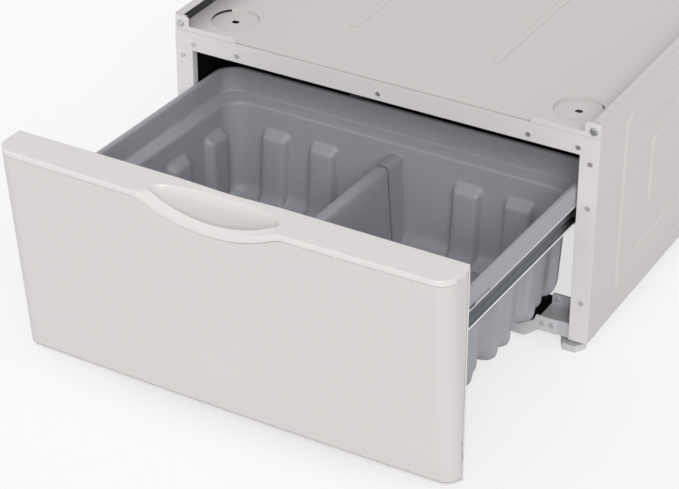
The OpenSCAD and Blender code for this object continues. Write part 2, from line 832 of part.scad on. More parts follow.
// Path of the bin's wall, from the skirt over the rim and down to the floor:
// distance inwards from the outside of the skirt, and height
function rim_path() =
    let (
        h = bin_t / 2,
        top = rim_h - h,
        inner_r = 2,
        corner_o = wall_o - inner_r,
        ledge_z1 = rim_h - ledge_drop
    )
    concat(
        [[h, skirt_z]],
        arc(h + shoulder_r, top - shoulder_r, shoulder_r, 180, 90, 6),
        arc(corner_o, top - inner_r, inner_r, 90, 0, 3),
        ledge_arc(ledge_o + ledge_r, ledge_z1 + ledge_r * 0.6, 180, 180 + ledge_angle()),
        ledge_arc(lower_o - ledge_r, ledge_z0 - ledge_r * 0.6, ledge_angle(), 0),
        [[lower_o, ledge_z0 - ledge_r * 0.6 - 2]]
    );
function ledge_angle() = 90 - atan2(ledge_h, ledge_w);
function ledge_arc(o, z, a0, a1) = arc(o, z, ledge_r, a0, a1, 4);

// Path of the wall under the ledge
function lower_path() = concat(
    [[lower_o, ledge_z0 - ledge_r * 0.6 - 1.9]],
    arc(floor_o + floor_r, -bin_deep + floor_r, floor_r, 180 + draft, 270, 7)
);

// The ledge's lower edge turns the corners more tightly than the wall under it: this fills the step
module corner_fill() {
    o0 = lower_o - bin_t / 2;
    o1 = lower_o + bin_t / 2;
    translate([0, 0, ledge_z0 - ledge_r * 0.6 - 2]) linear_extrude(bin_t) difference() {
        round_rect(-bin_hw + o0, bin_y0 + o0, bin_hw - o0, bin_y1 - o0, bin_corner_r - o0);
        round_rect(-bin_hw + o1, bin_y0 + o1, bin_hw - o1, bin_y1 - o1, lower_corner_r - bin_t / 2);
    }
}

// Gussets under the rim, that stand on the runners' upper flanges
module gussets() {
    n = floor((bin_l - 2 * bin_corner_r) / gusset_pitch);
    for (s = [0, 1], k = [0:n]) mirror([s, 0, 0])
        span([bin_hw - wall_o, bin_mid_y + (k - n / 2) * gusset_pitch - 1, runner_h / 2],
            [bin_hw - bin_t / 2, bin_mid_y + (k - n / 2) * gusset_pitch + 1, rim_h - shoulder_r - bin_t]);
}

// A pillar on a wall, as a block with drafted sides and a sloping top.
// It stands on the plane Y = 0, faces +Y, and grow makes it larger on every side.
module pillar(w, z0, z1, d, grow) {
    r = 5;
    x1 = w / 2 - pillar_taper - r;
    intersection() {
        translate([0, 0, z0]) linear_extrude(z1 - z0 + grow) union() {
            polygon([
                [-w / 2 - grow, -20], [w / 2 + grow, -20], [w / 2 + grow, 0],
                [x1 + r + grow * 0.9, d - r], [-x1 - r - grow * 0.9, d - r], [-w / 2 - grow, 0]
            ]);
            translate([-x1, 0]) square([2 * x1, d + grow]);
            for (x = [-x1, x1]) translate([x, d - r]) circle(r = r + grow);
        }
        rotate([90, 0, 90]) linear_extrude(w + 10, center = true) polygon([
            [-20, z0 - 1], [d + grow, z0 - 1], [d + grow, z1 - pillar_fall + grow * 0.5],
            [d * 0.8, z1 - pillar_fall * 0.66 + grow * 0.6], [2, z1 - 1 + grow], [0, z1 + grow],
            [-20, z1 + grow]
        ]);
    }
}

// Where the pillars stand: on the sides and on the back and front walls.
// From outside they are grooves, which end above the radius that leads into the floor.
module side_pillars(grow, z0) {
    n = floor((bin_l - 2 * lower_o) / side_pitch);
    x = bin_hw - lower_o - bin_t / 2 - pillar_root;
    for (s = [0, 1], k = [0:n - 1]) mirror([s, 0, 0])
        translate([x, bin_mid_y + (k - (n - 1) / 2) * side_pitch, 0]) rotate([0, 0, 90])
            rotate([-draft, 0, 0]) pillar(side_pillar_w, z0, pillar_z1, pillar_d, grow);
}

module end_pillars(grow, z0) {
    y0 = bin_y0 + lower_o + bin_t / 2 + pillar_root;
    y1 = bin_y1 - lower_o - bin_t / 2 - pillar_root;
    for (s = [-1, 1], k = [0, 1], e = [0, 1])
        translate([s * (bin_hw - lower_o - back_pillar_inset - k * back_pitch), e == 0 ? y1 : y0, 0])
            rotate([0, 0, e == 0 ? 180 : 0]) rotate([-draft, 0, 0])
                pillar(back_pillar_w, z0, pillar_z1, pillar_d, grow);
}

// A band of space along the walls, from their middle inwards
module wall_band() {
    swept_rim(bin_hw, bin_y0, bin_y1, lower_corner_r + lower_o)
        polygon(concat(lower_path(),
            [[band_o, -bin_deep], [band_o, ledge_z0], [lower_o, ledge_z0]]));
}

// Outline of the bin at a distance inwards from the outside of its skirt
module bin_floor_plan(o) {
    round_rect(-bin_hw + o, bin_y0 + o, bin_hw - o, bin_y1 - o, lower_corner_r + lower_o - o);
}

// Ribs across the floor: half-round troughs with round ends
module floor_ribs(grow) {
    n = floor((bin_l - 2 * floor_o - 2 * floor_r) / rib_pitch);
    x1 = bin_hw - floor_o - floor_r * 0.45;
    z = -bin_deep + rib_r - rib_h - bin_t / 2;
    for (k = [0:n]) translate([0, bin_mid_y + (k - n / 2) * rib_pitch, z]) {
        rod_x(-x1, x1, rib_r + grow);
        for (x = [-x1, x1]) translate([x, 0, 0]) sphere(r = rib_r + grow);
    }
}

// Divider: a hollow hump between the front and back walls
function divider_path() =
    let (h = divider_w / 2 - bin_t / 2, top = -divider_drop - bin_t / 2, z0 = -bin_deep,
        foot_x = h + (top - z0) * tan(5))
    concat(
        [[-foot_x - 6, z0], [-foot_x, z0 + 4]],
        arc(-h + 5, top - 5, 5, 175, 90, 4),
        arc(h - 5, top - 5, 5, 90, 5, 4),
        [[foot_x, z0 + 4], [foot_x + 6, z0]]
    );

module divider() {
    inset = lower_o;
    translate([0, bin_y1 - inset, 0]) rotate([90, 0, 0])
        linear_extrude(bin_l - 2 * inset) sheet_section(divider_path(), bin_t);
}

module divider_space() {
    p = divider_path();
    translate([0, bin_y1 - lower_o - bin_t, 0]) rotate([90, 0, 0])
        linear_extrude(bin_l - 2 * lower_o - 2 * bin_t)
            polygon(concat(beside(p, -bin_t / 2), [[p[0][0], p[0][1] - 30], [-p[0][0], p[0][1] - 30]]));
}

module drawer_bin() {
    color(bin_grey) on_runner() difference() {
        union() {
            swept_rim(bin_hw, bin_y0, bin_y1, bin_corner_r) sheet_section(rim_path(), bin_t);
            corner_fill();
            gussets();
            difference() {
                union() {
                    swept_rim(bin_hw, bin_y0, bin_y1, lower_corner_r + lower_o)
                        sheet_section(lower_path(), bin_t);
                    translate([0, 0, -bin_deep - bin_t / 2]) linear_extrude(bin_t)
                        bin_floor_plan(floor_o + floor_r - 1);
                    intersection() {
                        floor_ribs(bin_t / 2);
                        span([-bin_hw, bin_y0, -bin_deep - 40], [bin_hw, bin_y1, -bin_deep]);
                    }
                }
                intersection() {
                    floor_ribs(-bin_t / 2);
                    span([-bin_hw, bin_y0, -bin_deep - 40], [bin_hw, bin_y1, -bin_deep + 8]);
                }
            }
            intersection() {
                union() {
                    side_pillars(0, -bin_deep - 20);
                    end_pillars(0, -bin_deep - 20);
                }
                wall_band();
            }
            divider();
        }
        side_pillars(-bin_t, groove_z0);
        end_pillars(-bin_t, groove_z0);
        divider_space();
        runner_notches();
        bin_screw_places() rod_y(-20, 5, screw_r + 0.1);
    }
}

// The skirt is cut away where the runners pass under it and beside their tabs
module runner_notches() {
    x0 = runner_x0 - 0.3;
    z1 = runner_h / 2 + 0.6;
    for (s = [0, 1]) mirror([s, 0, 0]) {
        span([x0, bin_y1 - bin_corner_r, skirt_z - 1], [bin_hw + 1, bin_y1 + 1, z1]);
        span([x0, bin_y0 - 1, skirt_z - 1], [bin_hw + 1, bin_y0 + bin_corner_r, z1]);
        span([bin_hw - bin_t - eps, bin_y0 - 1, skirt_z - 1],
            [bin_hw + 1, runner_y0 + tab_l + 2, z1 + tab_h]);
    }
}

// Screws that hold the bin and the runners to the drawer front. Their shanks point to -Y.
module bin_screw_places() {
    drop = rim_h / 3;
    for (x = [-0.75, -0.25, 0.25, 0.75])
        translate([x * bin_hw, bin_y0 + wall_o + drop * tan(wall_slope) + bin_t / 2 + 0.1, rim_h - drop])
            children();
}

module runner_screw_places() {
    for (s = [-1, 1], x = [6, 16])
        translate([s * (runner_x0 - x), runner_y0 + runner_t, 7 - runner_h / 2]) children();
}

module drawer_screws() {
    color(zinc) on_runner() {
        bin_screw_places() rotate([0, 0, 180]) pan_screw(wall_o + bin_t);
        runner_screw_places() rotate([0, 0, 180]) pan_screw(runner_t + skin_t);
    }
}

// ---- drawer front ----

// Plan of the drawer front at its widest, with its face on y = 0, set in on all sides:
// a slightly bowed face between two round corners
module front_plan(inset) {
    bow_r = (front_hw * front_hw + front_bow * front_bow) / (2 * front_bow);
    r = front_corner_r;
    x1 = front_hw - r;
    bow_a = asin(x1 / (bow_r - r));
    corner_y = bow_r - (bow_r - r) * cos(bow_a);
    depth = 200;
    polygon(concat(
        [[front_hw - inset, depth], [inset - front_hw, depth]],
        arc(-x1, corner_y, r - inset, 180, 270 - bow_a, 14),
        arc(0, bow_r, bow_r - inset, 270 - bow_a * 0.92, 270 + bow_a * 0.92, 24),
        arc(x1, corner_y, r - inset, 270 + bow_a, 360, 14)
    ));
}

// The leaning block of the drawer front between two heights
module front_block(z0, z1, inset) {
    intersection() {
        translate([0, front_y1, front_z1]) rotate([front_lean, 0, 0])
            translate([0, 0, -front_h - 60]) linear_extrude(front_h + 120) front_plan(inset);
        span([-hw, front_y1 - 50, z0], [hw, panel_y, z1]);
    }
}

// Everything above the dipping top edge, lowered by drop, as a flat outline.
// The dip is a wide arc that passes into a small round one at each end.
module above_dip(drop, depth) {
    z1 = front_z1 - drop;
    wide_r = (dip_half_w * dip_half_w + depth * depth) / (2 * depth) - dip_end_r;
    join_x = dip_half_w * wide_r / (wide_r + dip_end_r);
    translate([handle_x, 0]) union() {
        translate([-cabinet_w, z1]) square([2 * cabinet_w, front_h]);
        intersection() {
            translate([0, z1 - depth + wide_r]) circle(r = wide_r, $fn = 200);
            translate([-join_x, z1 - depth - 1]) square([2 * join_x, depth + 1 + eps]);
        }
        for (s = [0, 1]) mirror([s, 0]) difference() {
            translate([join_x - eps, z1 - depth]) square([dip_half_w - join_x + eps, depth + eps]);
            translate([dip_half_w, z1 - dip_end_r]) circle(r = dip_end_r, $fn = 100);
        }
    }
}

module above_dip_solid(drop, depth, y0, y1) {
    translate([0, y1, 0]) rotate([90, 0, 0]) linear_extrude(y1 - y0) above_dip(drop, depth);
}

// The hollow of the handle: the dip, swept backwards and upwards. It starts on the front face.
module scoop(lower) {
    translate([0, front_y1, front_z1 - lower]) rotate([scoop_angle, 0, 0])
        translate([0, 0, -front_z1])
            above_dip_solid(0, dip_h * cos(scoop_angle), -60, 2 * front_top_d);
}

module pocket_plan(grow) {
    w = pocket_half_w + grow;
    l = pocket_half_l + grow;
    r = (l * l + w * w) / (2 * w);
    translate([handle_x, panel_y - pocket_back - pocket_half_w]) intersection() {
        translate([0, r - w]) circle(r = r, $fn = 200);
        translate([0, w - r]) circle(r = r, $fn = 200);
    }
}

module pocket_cup() {
    translate([0, 0, pocket_z0 - cap_t]) linear_extrude(front_z1 - 1 - pocket_z0 + cap_t)
        pocket_plan(cap_t);
}

// Outside of the handle cap: its lower edge follows the dip in front of the inner panel
module cap_block() {
    z0 = front_z1 - dip_h - cap_band_h;
    intersection() {
        front_block(z0, front_z1, 0);
        union() {
            above_dip_solid(cap_band_h, dip_h, front_y1 - 20, panel_y - skin_t);
            span([-hw, front_y1, panel_z1], [hw, panel_y, front_z1]);
        }
    }
}

module cap_hollow() {
    z0 = front_z1 - dip_h - cap_band_h - 1;
    difference() {
        intersection() {
            front_block(z0, front_z1 - cap_t, cap_t);
            span([-hw, front_y1, z0], [hw, panel_y - cap_t, front_z1]);
        }
        scoop(cap_t / cos(scoop_angle));
    }
}

module handle_cap() {
    color(white_cap) in_cabinet() difference() {
        union() {
            difference() {
                cap_block();
                cap_hollow();
            }
            pocket_cup();
        }
        scoop(0);
        translate([0, 0, pocket_z0]) linear_extrude(front_h) pocket_plan(0);
    }
}

module drawer_front_skin() {
    color(white_paint) in_cabinet() difference() {
        front_block(panel_z0, front_z1, 0);
        front_block(front_z0 - 10, front_z1 + 10, skin_t);
        above_dip_solid(cap_band_h, dip_h, front_y1 - 20, panel_y + 20);
        span([-hw, panel_y - hem_w, 0], [hw, panel_y + 1, front_z1 + 1]);
    }
}

module bottom_cap() {
    color(white_cap) in_cabinet() difference() {
        front_block(front_z0, panel_z0, 0);
        front_block(front_z0 + bottom_t, front_z1, bottom_t);
    }
}

// Sheet that closes the back of the drawer front, with a narrow flange along each side
module drawer_inner_panel() {
    color(white_paint) in_cabinet() difference() {
        intersection() {
            front_block(panel_z0, panel_z1, 0);
            span([-hw, panel_y - hem_w, panel_z0], [hw, panel_y, panel_z1]);
        }
        intersection() {
            front_block(panel_z0 - 1, panel_z1 + 1, skin_t);
            span([-hw, panel_y - hem_w - 1, panel_z0 - 1], [hw, panel_y - skin_t, panel_z1 + 1]);
        }
        runner_frame() {
            bin_screw_places() rod_y(-20, 20, screw_r + 0.1);
            runner_screw_places() rod_y(-20, 20, screw_r + 0.1);
        }
    }
}

module drawer_bumpers() {
    color(black) in_cabinet() for (s = [-1, 1], z = [front_z0 + 30, front_z1 - 70])
        translate([s * (hw - stile_w * 0.5), panel_y, z]) rod_y(0, closed_gap - 0.4, 5);
}

left_side_panel();
right_side_panel();
back_panel();
top_deck();
face_frame();
front_cross_rail();
front_base_brace();
rear_cross_rail();
front_left_corner_bracket();
front_right_corner_bracket();
rear_left_corner_bracket();
rear_right_corner_bracket();
left_runner_support();
right_runner_support();
left_cabinet_runner();
right_cabinet_runner();
left_tie_bracket();
right_tie_bracket();
tie_bolts();
face_frame_screws();
corner_bracket_screws();
deck_screws();
back_panel_screws();
runner_screws();
foot_lock_nuts();
front_left_foot();
front_right_foot();
rear_left_foot();
rear_right_foot();
left_front_roller();
right_front_roller();
drawer_front_skin();
handle_cap();
bottom_cap();
drawer_inner_panel();
drawer_bin();
left_drawer_runner();
right_drawer_runner();
left_rear_roller();
right_rear_roller();
drawer_bumpers();
drawer_screws();
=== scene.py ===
"""Dresses the laundry pedestal drawer: finishes, moulded and pressed pieces, camera and studio."""

import logging
import math
from dataclasses import dataclass, field
from enum import Enum
from typing import Callable, Iterable, Sequence

import bpy
from mathutils import Matrix, Vector


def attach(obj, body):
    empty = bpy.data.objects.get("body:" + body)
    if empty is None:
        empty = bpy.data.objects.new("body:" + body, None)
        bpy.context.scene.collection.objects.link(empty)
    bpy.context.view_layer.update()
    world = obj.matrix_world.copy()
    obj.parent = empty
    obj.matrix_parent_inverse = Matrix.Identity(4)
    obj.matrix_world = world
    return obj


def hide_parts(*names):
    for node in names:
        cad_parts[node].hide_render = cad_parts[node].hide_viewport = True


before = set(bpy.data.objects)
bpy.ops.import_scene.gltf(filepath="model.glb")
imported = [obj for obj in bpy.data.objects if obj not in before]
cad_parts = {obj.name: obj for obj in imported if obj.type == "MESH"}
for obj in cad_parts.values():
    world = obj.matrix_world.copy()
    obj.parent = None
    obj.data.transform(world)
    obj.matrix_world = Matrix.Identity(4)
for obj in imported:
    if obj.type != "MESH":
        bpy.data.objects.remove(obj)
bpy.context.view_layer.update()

log = logging.getLogger("pedestal")

MM = 0.001

Tree = bpy.types.NodeTree
Socket = bpy.types.NodeSocket
Piece = bpy.types.Object


# ---------------------------------------------------------------- colours and nodes


def srgb(code: str) -> tuple[float, float, float, float]:
    """Turns an sRGB hex colour into the linear colour that a shader takes.

    Args:
        code: Six hex digits, such as "D6D2D1".

    Returns:
        Linear red, green, blue and full alpha.
    """
    parts = [int(code[i : i + 2], 16) / 255 for i in (0, 2, 4)]
    linear = [c / 12.92 if c <= 0.04045 else ((c + 0.055) / 1.055) ** 2.4 for c in parts]
    return (linear[0], linear[1], linear[2], 1.0)


def add_node(tree: Tree, kind: str, settings: dict | None = None,
             links: dict | None = None) -> bpy.types.Node:
    """Adds a shader node with its settings and links.

    Args:
        tree: The node tree that takes the node.
        kind: Blender's type name of the node.
        settings: Values by name: a property of the node, or else an input socket.
        links: Output sockets by the name or number of the input that each one feeds.

    Returns:
        The new node.
    """
    node = tree.nodes.new(kind)
    for name, value in (settings or {}).items():
        if isinstance(name, str) and hasattr(node, name):
            setattr(node, name, value)
        else:
            node.inputs[name].default_value = value
    for name, socket in (links or {}).items():
        tree.links.new(socket, node.inputs[name])
    return node


def empty_tree(owner: bpy.types.Material | bpy.types.World) -> Tree:
    """Turns nodes on for a material or a world and empties its tree."""
    owner.use_nodes = True
    owner.node_tree.nodes.clear()
    return owner.node_tree


class Facing(Enum):
    """Whether the inward faces of a sheet get painted shade."""

    ALL = "all"
    INSIDE_DARK = "inside dark"


@dataclass(frozen=True)
class Finish:
    """A surface of one material, in the words of a maker.

    Attributes:
        name: Name of the material.
        colour: sRGB hex colour.
        roughness: Roughness of the surface.
        edge_mm: Radius that light sees on the edges.
        grain_mm: Size of the surface's grain.
        grain_depth: Strength of the grain's bump.
        mottle: Share by which the colour varies over a hand's width.
        specular: Specular level.
        coat: Weight of the clear top layer.
        metallic: Share of bare metal.
        bump_m: Height of the grain's bump in metres.
        facing: Which faces are finished differently.
    """

    name: str
    colour: str
    roughness: float
    edge_mm: float = 1.0
    grain_mm: float = 1.5
    grain_depth: float = 0.02
    mottle: float = 0.01
    specular: float = 0.5
    coat: float = 0.0
    metallic: float = 0.0
    # facing: Which faces get painted shade.
    bump_m: float = 0.0004
    facing: Facing = Facing.ALL

    def build(self) -> bpy.types.Material:
        """Builds the material once and returns it afterwards."""
        found = bpy.data.materials.get(self.name)
        if found is not None:
            return found
        material = bpy.data.materials.new(self.name)
        tree = empty_tree(material)
        out = add_node(tree, "ShaderNodeOutputMaterial")
        shader = add_node(tree, "ShaderNodeBsdfPrincipled", {
            "Roughness": self.roughness, "Metallic": self.metallic,
            "Specular IOR Level": self.specular, "Coat Weight": self.coat,
            "Coat Roughness": 0.12})
        tree.links.new(shader.outputs["BSDF"], out.inputs["Surface"])
        place = add_node(tree, "ShaderNodeTexCoord").outputs["Object"]
        tree.links.new(self.tint(tree, place), shader.inputs["Base Color"])
        tree.links.new(self.relief(tree, place), shader.inputs["Normal"])
        return material

    def tint(self, tree: Tree, place: Socket) -> Socket:
        """Colour with a slow, faint variation, and painted shade on a sheet's inward faces where
        facing says so.
        """
        base = srgb(self.colour)
        low = tuple(c * (1 - self.mottle) for c in base[:3]) + (1.0,)
        high = tuple(min(1.0, c * (1 + self.mottle)) for c in base[:3]) + (1.0,)
        # one cycle over about 80 mm, the size of a hand
        cloud = add_node(tree, "ShaderNodeTexNoise", {"Scale": 12.0, "Detail": 2.0},
                         {"Vector": place})
        mix = add_node(tree, "ShaderNodeMix", {"data_type": "RGBA"}, {0: cloud.outputs["Fac"]})
        mix.inputs[6].default_value = low
        mix.inputs[7].default_value = high
        colour = mix.outputs[2]
        if self.facing is Facing.INSIDE_DARK:
            colour = self.paint_inside_shade(tree, place, colour)
        return colour

    def paint_inside_shade(self, tree: Tree, place: Socket, colour: Socket) -> Socket:
        """Paints shade, a near-black colour, on the faces that look into the cabinet."""
        turned = add_node(tree, "ShaderNodeNewGeometry").outputs["Normal"]
        middle = add_node(tree, "ShaderNodeVectorMath",
                          {"operation": "SUBTRACT", 0: (0.0, 0.22, 0.2)}, {1: place})
        facing = add_node(tree, "ShaderNodeVectorMath", {"operation": "DOT_PRODUCT"},
                          {0: middle.outputs[0], 1: turned})
        inside = add_node(tree, "ShaderNodeMath", {"operation": "GREATER_THAN", 1: 0.02},
                          {0: facing.outputs["Value"]})
        mix = add_node(tree, "ShaderNodeMix", {"data_type": "RGBA"},
                       {0: inside.outputs[0], 6: colour})
        # near-black painted shade for the faces inside the cabinet
        mix.inputs[7].default_value = srgb("1C1C1D")
        return mix.outputs[2]

    def relief(self, tree: Tree, place: Socket) -> Socket:
        """Rounded edges and the surface's pattern, as a normal."""
        edge = add_node(tree, "ShaderNodeBevel", {"samples": 6, "Radius": self.edge_mm * MM})
        bump = add_node(tree, "ShaderNodeBump",
                        {"Strength": self.grain_depth, "Distance": self.bump_m},
                        {"Height": self.pattern(tree, place), "Normal": edge.outputs["Normal"]})
        return bump.outputs["Normal"]

    def pattern(self, tree: Tree, place: Socket) -> Socket:
        """A fine, even grain, as a height."""
        grain = add_node(tree, "ShaderNodeTexNoise",
                         {"Scale": 1 / (self.grain_mm * MM), "Detail": 3.0}, {"Vector": place})
        return grain.outputs["Fac"]


@dataclass(frozen=True)
class RolledSteel(Finish):
    """Zinc plated strip, rolled: fine lines along the strip and a soft blue-grey bloom.

    Attributes:
        line_mm: Distance between the rolling lines.
        along: Axis that the lines run along: 0 for X, 1 for Y.
    """

    bump_m: float = 0.0003
    line_mm: float = 1.2
    along: int = 1

    def pattern(self, tree: Tree, place: Socket) -> Socket:
        """Rolling lines, as a height."""
        across, length = 1 / (self.line_mm * MM), 1 / (80 * MM)
        scale = (length, across, across) if self.along == 0 else (across, length, across)
        drawn = add_node(tree, "ShaderNodeMapping", {"Scale": scale}, {"Vector": place})
        lines = add_node(tree, "ShaderNodeTexNoise", {"Scale": 1.0, "Detail": 2.0},
                         {"Vector": drawn.outputs["Vector"]})
        return lines.outputs["Fac"]


# Baked enamel on steel: smooth, half gloss, with the faint waviness of sprayed paint.
FRONT_ENAMEL = Finish("enamel_front", "D3CFCE", 0.38, edge_mm=1.2, grain_mm=3.0,
                      grain_depth=0.015, mottle=0.006, coat=0.15)
# The same enamel, painted lighter than the front's as painted light, to offset the shade that falls
# on the frame behind the drawer front.
LIT_FRAME_ENAMEL = Finish("enamel_frame_painted_light", "E5E1E0", 0.40, edge_mm=0.8, grain_mm=3.0,
                      grain_depth=0.015, mottle=0.006, coat=0.1)
# Its faces that look into the cabinet get a near-black painted shade.
CABINET_ENAMEL = Finish("enamel_cabinet", "CDC9C8", 0.42, edge_mm=1.5, grain_mm=3.0,
                        grain_depth=0.015, mottle=0.008, coat=0.1, facing=Facing.INSIDE_DARK)
# Moulded ABS, colour matched to the enamel: a little smoother than the paint.
CAP_ABS = Finish("abs_cap", "DFDBDA", 0.22, edge_mm=0.8, grain_mm=0.8, grain_depth=0.01,
                 mottle=0.004, coat=0.4)
# Polypropylene from a spark-eroded mould: a fine even grain, drawn at 0.9 mm so that it shows.
BIN_POLYPROPYLENE = Finish("polypropylene_bin", "A0A1A7", 0.42, edge_mm=3.5, grain_mm=0.9,
                           grain_depth=0.05, mottle=0.02, specular=0.45)
FOOT_NYLON = Finish("nylon_foot", "D2D2D4", 0.45, edge_mm=1.0, grain_mm=0.7, grain_depth=0.04)
# Zinc plated steel strip: bright where it is flat, with lines along the rolling direction.
RUNNER_ZINC = RolledSteel("zinc_runner", "A2A4A7", 0.30, edge_mm=0.5, grain_depth=0.18,
                          mottle=0.03, metallic=1.0)
RAIL_ZINC = RolledSteel("zinc_rail", "E2E2E3", 0.42, edge_mm=0.6, grain_depth=0.2, mottle=0.05,
                        metallic=0.4, along=0)
SCREW_ZINC = Finish("zinc_screw", "CBCCCE", 0.30, edge_mm=0.5, grain_mm=0.6, grain_depth=0.05,
                    mottle=0.03, metallic=0.7)
# The track that the rollers run along, in the recess of the runner's web: its dark grey is painted
# shade.
SHADED_TRACK_STEEL = RolledSteel("painted_shade_track", "6E7074", 0.35, edge_mm=0.3, grain_depth=0.15,
                          mottle=0.08, metallic=0.8)
# Rolled edges of the runner's flanges, painted near white as a highlight.
HIGHLIGHT_ZINC = RolledSteel("painted_highlight_zinc", "F0F0F1", 0.25, edge_mm=0.3, grain_depth=0.05, mottle=0.02,
                       metallic=0.5)
# Galvanised plate, pressed: paler and duller than the plated strip.
BRACKET_ZINC = Finish("galvanised_bracket", "D0D1D3", 0.45, edge_mm=0.8, grain_mm=4.0,
                      grain_depth=0.05, mottle=0.06, metallic=0.4)
# The brace's near-black is painted shade, for the recess under the cross rail: dull, slightly
# grainy.
SHADE_BRACE_COAT = Finish("painted_shade_brace", "161617", 0.5, edge_mm=0.8, grain_mm=1.0,
                    grain_depth=0.08, mottle=0.1)
ROLLER_NYLON = Finish("nylon_roller", "18181A", 0.35, edge_mm=0.6, grain_mm=0.8,
                      grain_depth=0.03, mottle=0.05)
BUMPER_RUBBER = Finish("rubber_bumper", "1A1A1B", 0.8, edge_mm=0.8, grain_mm=0.6,
                       grain_depth=0.1, mottle=0.08)

NODES_OF_FINISH: tuple[tuple[Finish, str], ...] = (
    (CABINET_ENAMEL, "left_side_panel right_side_panel back_panel top_deck"),
    (LIT_FRAME_ENAMEL, "face_frame left_tie_bracket right_tie_bracket drawer_inner_panel"),
    (RAIL_ZINC, "front_cross_rail rear_cross_rail"),
    (SHADE_BRACE_COAT, "front_base_brace"),
    (BRACKET_ZINC, "front_left_corner_bracket front_right_corner_bracket "
                   "rear_left_corner_bracket rear_right_corner_bracket"),
    (RUNNER_ZINC, "left_runner_support right_runner_support left_cabinet_runner "
                  "right_cabinet_runner left_drawer_runner right_drawer_runner"),
    (SCREW_ZINC, "tie_bolts face_frame_screws corner_bracket_screws deck_screws "
                 "back_panel_screws runner_screws foot_lock_nuts drawer_screws"),
    (FOOT_NYLON, "front_left_foot front_right_foot rear_left_foot rear_right_foot"),
    (ROLLER_NYLON, "left_front_roller right_front_roller left_rear_roller right_rear_roller"),
    (FRONT_ENAMEL, "drawer_front_skin"),
    (CAP_ABS, "handle_cap bottom_cap"),
    (BIN_POLYPROPYLENE, "drawer_bin"),
    (BUMPER_RUBBER, "drawer_bumpers"),
)


def dress_nodes() -> None:
    """Gives each CAD node its finish."""
    for finish, names in NODES_OF_FINISH:
        for name in names.split():
            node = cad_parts[name]
            node.data.materials.clear()
            node.data.materials.append(finish.build())
            log.info("finish of %s: %s", name, finish.name)


# ---------------------------------------------------------------- meshes


Place = Callable[[int, int], Vector]


def shaped_grid(name: str, columns: int, rows: int, place: Place, flip: bool = False) -> Piece:
    """Adds a grid and sets each of its points at its place on the piece, then merges doubles.

    Args:
        name: Name of the piece.
        columns: Number of points across.
        rows: Number of points along.
        place: Gives the point of a column and a row, in millimetres, in the row frame.
        flip: Turns the faces over.

    Returns:
        The piece, with its object at the origin.
    """
    bpy.ops.object.select_all(action="DESELECT")
    bpy.ops.mesh.primitive_grid_add(x_subdivisions=columns - 1, y_subdivisions=rows - 1, size=2,
                                    location=(0, 0, 0))
    piece = bpy.context.object
    piece.name = piece.data.name = name
    for vertex in piece.data.vertices:
        i = round((vertex.co.x + 1) / 2 * (columns - 1))
        j = round((vertex.co.y + 1) / 2 * (rows - 1))
        vertex.co = place(i, j) * MM
    bpy.ops.object.mode_set(mode="EDIT")
    bpy.ops.mesh.select_all(action="SELECT")
    bpy.ops.mesh.remove_doubles(threshold=0.00002)
    bpy.ops.mesh.dissolve_degenerate(threshold=0.00001)
    if flip:
        bpy.ops.mesh.flip_normals()
    bpy.ops.object.mode_set(mode="OBJECT")
    return piece


def thicken(piece: Piece, thickness_mm: float, offset: float = -1.0) -> None:
    """Gives a shell its wall, with the modifier applied.

    Args:
        piece: The shell.
        thickness_mm: Thickness of the wall.
        offset: -1 puts the wall behind the faces, 0 round them.
    """
    wall = piece.modifiers.new("wall", "SOLIDIFY")
    wall.thickness = thickness_mm * MM
    wall.offset = offset
    apply(piece, wall)


def pick(piece: Piece) -> None:
    """Makes a piece the active one and the only one selected."""
    bpy.ops.object.select_all(action="DESELECT")
    bpy.context.view_layer.objects.active = piece
    piece.select_set(True)


def apply(piece: Piece, modifier: bpy.types.Modifier) -> None:
    """Applies a modifier."""
    pick(piece)
    bpy.ops.object.modifier_apply(modifier=modifier.name)


def smooth(piece: Piece, degrees: float) -> None:
    """Shades a piece smooth, apart from edges sharper than an angle."""
    pick(piece)
    bpy.ops.object.shade_smooth_by_angle(angle=math.radians(degrees))


def settle(piece: Piece, finish: Finish, body: str, slot: str, *nodes: str) -> Piece:
    """Dresses a finished piece and lets it ride on its body in place of its CAD nodes.

    Args:
        piece: The finished piece.
        finish: Its finish.
        body: Name of the body that it moves with.
        slot: The record's material slot; not used.
        nodes: The CAD nodes that it stands for.

    Returns:
        The piece.
    """
    piece.data.materials.clear()
    piece.data.materials.append(finish.build())
    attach(piece, body)
    if nodes:
        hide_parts(*nodes)
    log.info("%s: %d faces", piece.name, len(piece.data.polygons))
    return piece


def steps(start: float, end: float, count: int) -> list[float]:
    """Evenly spaced values from start to end, both included."""
    return [start + (end - start) * k / count for k in range(count + 1)]


def arc(o: float, z: float, r: float, start: float, end: float,
        count: int) -> list[tuple[float, float, float]]:
    """Points of the bin's wall on an arc about a centre, between two angles in degrees."""
    angles = [math.radians(a) for a in steps(start, end, count)]
    return [(o + r * math.cos(a), z + r * math.sin(a), 1.0) for a in angles]


def merged(values: Iterable[float], nearest: float) -> list[float]:
    """Sorted values, without any that lie nearer than a distance to the one before."""
    kept: list[float] = []
    for value in sorted(values):
        if not kept or value - kept[-1] >= nearest:
            kept.append(value)
    return kept


def inner_point(i: int, j: int, columns: int, rows: int, ring: int) -> tuple[int, int, int]:
    """Finds where a point of a grid with a rolled edge belongs.

    Args:
        i: Column of the point.
        j: Row of the point.
        columns: Columns of the flat part.
        rows: Rows of the flat part.
        ring: Number of rings round the flat part.

    Returns:
        The nearest column and row of the flat part, and the number of the point's ring, which is
        0 on the flat part.
    """
    ci = min(max(i - ring, 0), columns - 1)
    cj = min(max(j - ring, 0), rows - 1)
    return ci, cj, max(abs(i - ring - ci), abs(j - ring - cj))


